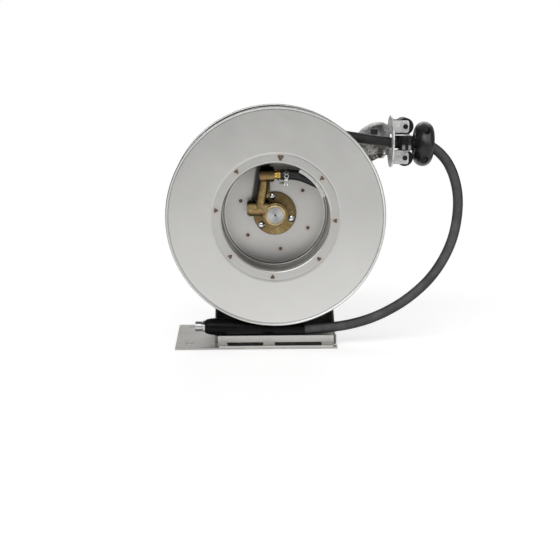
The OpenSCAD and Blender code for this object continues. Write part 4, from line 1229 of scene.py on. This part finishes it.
def worm_clamp():
    """Notched band, housing with two legs, band tail and screw."""
    bm = bmesh.new()
    lathe(bm, CLAMP_HOSE, (1, 0, 0), band_profile(), 56, closed=True)
    for k in range(NOTCHES):
        a = math.radians(NOTCH_FROM + NOTCH_STEP * k)
        out = Vector((0, math.cos(a), math.sin(a)))
        centre = CLAMP_HOSE + out * (BAND_R + NOTCH_OUT) + Vector((sum(BAND_X) / 2, 0, 0))
        block(bm, centre, NOTCH_SIZE, NOTCH_BEVEL, a, "X")
    for centre, size, bevel, degrees in CLAMP_BLOCKS:
        block(bm, centre, size, bevel, math.radians(degrees))
    lathe(bm, CLAMP_SCREW, FRONT, SCREW_PROFILE)
    clamp = mesh_piece("worm_clamp", bm, clamp_steel, "drum")
    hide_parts("hose_clamp")


weld_marks()
swivel_screw_heads()
worm_clamp()


# ---------- floor, backdrop and light ----------

FLOOR_HALF = 14.0
FLOOR_DROP = 0.0004  # below the part's feet
FLOOR_TONE = (0.84, 0.84, 0.84, 1)
FLOOR_GLOW = 0.50

# Distances over which the floor turns to plain white, and over which its mirrored light fades
WHITE_FROM = (0.42, 1.0)
MIRRORED_FROM = (0.3, 4.2)
MIRRORED_NEAR = 1.22
MIRRORED_FAR = 0.26

# Grey of the surroundings by height, from the horizon up
SKY_STOPS = [(0.45, 0.26), (0.8, 0.24)]


def floor_material():
    """White sweep: near the object it takes the shadow, further out it is plain white."""
    mat = bpy.data.materials.new("floor_pale")
    mat.use_nodes = True
    t = Tree(mat.node_tree)
    far = t.vector("LENGTH", t.make("ShaderNodeTexCoord", {}, "Object"))
    diffuse = t.make("ShaderNodeBsdfDiffuse", {"Color": FLOOR_TONE})
    near = t.make("ShaderNodeAddShader", {0: diffuse, 1: t.glow(FLOOR_GLOW)})
    in_view = t.mix_shader(t.remap(far, *WHITE_FROM, smooth=True), near, t.glow(1.0))
    bright = t.remap(far, *MIRRORED_FROM, MIRRORED_NEAR, MIRRORED_FAR, smooth=True)
    in_mirror = t.mix_shader(t.ray("Is Glossy Ray"), diffuse, t.glow(bright))
    shown = t.mix_shader(t.ray("Is Camera Ray"), in_mirror, in_view)
    t.put(shown, t.add("ShaderNodeOutputMaterial").inputs["Surface"])
    return mat


def make_floor():
    data = bpy.data.meshes.new("floor")
    corners = [(-FLOOR_HALF, -FLOOR_HALF, 0), (FLOOR_HALF, -FLOOR_HALF, 0),
               (FLOOR_HALF, FLOOR_HALF, 0), (-FLOOR_HALF, FLOOR_HALF, 0)]
    data.from_pydata(corners, [], [(0, 1, 2, 3)])
    data.materials.append(floor_material())
    floor = add_object("floor", data)
    floor.location.z = -FLOOR_DROP


def studio_world():
    """Grey light, a little darker overhead, and plain white for the camera."""
    world = bpy.data.worlds.new("studio")
    world.use_nodes = True
    t = Tree(world.node_tree)
    _, _, height = t.split(t.make("ShaderNodeTexCoord", {}, "Generated"))
    sky = t.ramp(height, [(place, (grey, grey, grey * 0.99)) for place, grey in SKY_STOPS])
    light = t.make("ShaderNodeBackground", {"Color": sky})
    white = t.make("ShaderNodeBackground", {"Color": (1, 1, 1, 1)})
    shown = t.mix_shader(t.ray("Is Camera Ray"), light, white)
    t.put(shown, t.add("ShaderNodeOutputWorld").inputs["Surface"])
    return world


LAMP_AIM = Vector((0.04, 0, 0.2))


def lamp(name, place, power, width, height):
    """Rectangular area light, aimed at the part."""
    data = bpy.data.lights.new(name, "AREA")
    data.shape = "RECTANGLE"
    data.size = width
    data.size_y = height
    data.energy = power
    obj = add_object(name, data)
    obj.location = place
    obj.rotation_euler = (LAMP_AIM - Vector(place)).to_track_quat("-Z", "Y").to_euler()


make_floor()
bpy.context.scene.world = studio_world()
lamp("key", (-0.9, -2.3, 2.2), 44, 3.0, 1.6)
lamp("fill", (2.2, -1.6, 1.0), 14, 2.0, 2.0)
lamp("rear", (0.4, 2.0, 1.6), 16, 2.0, 1.2)

bpy.context.scene.view_settings.view_transform = "Standard"
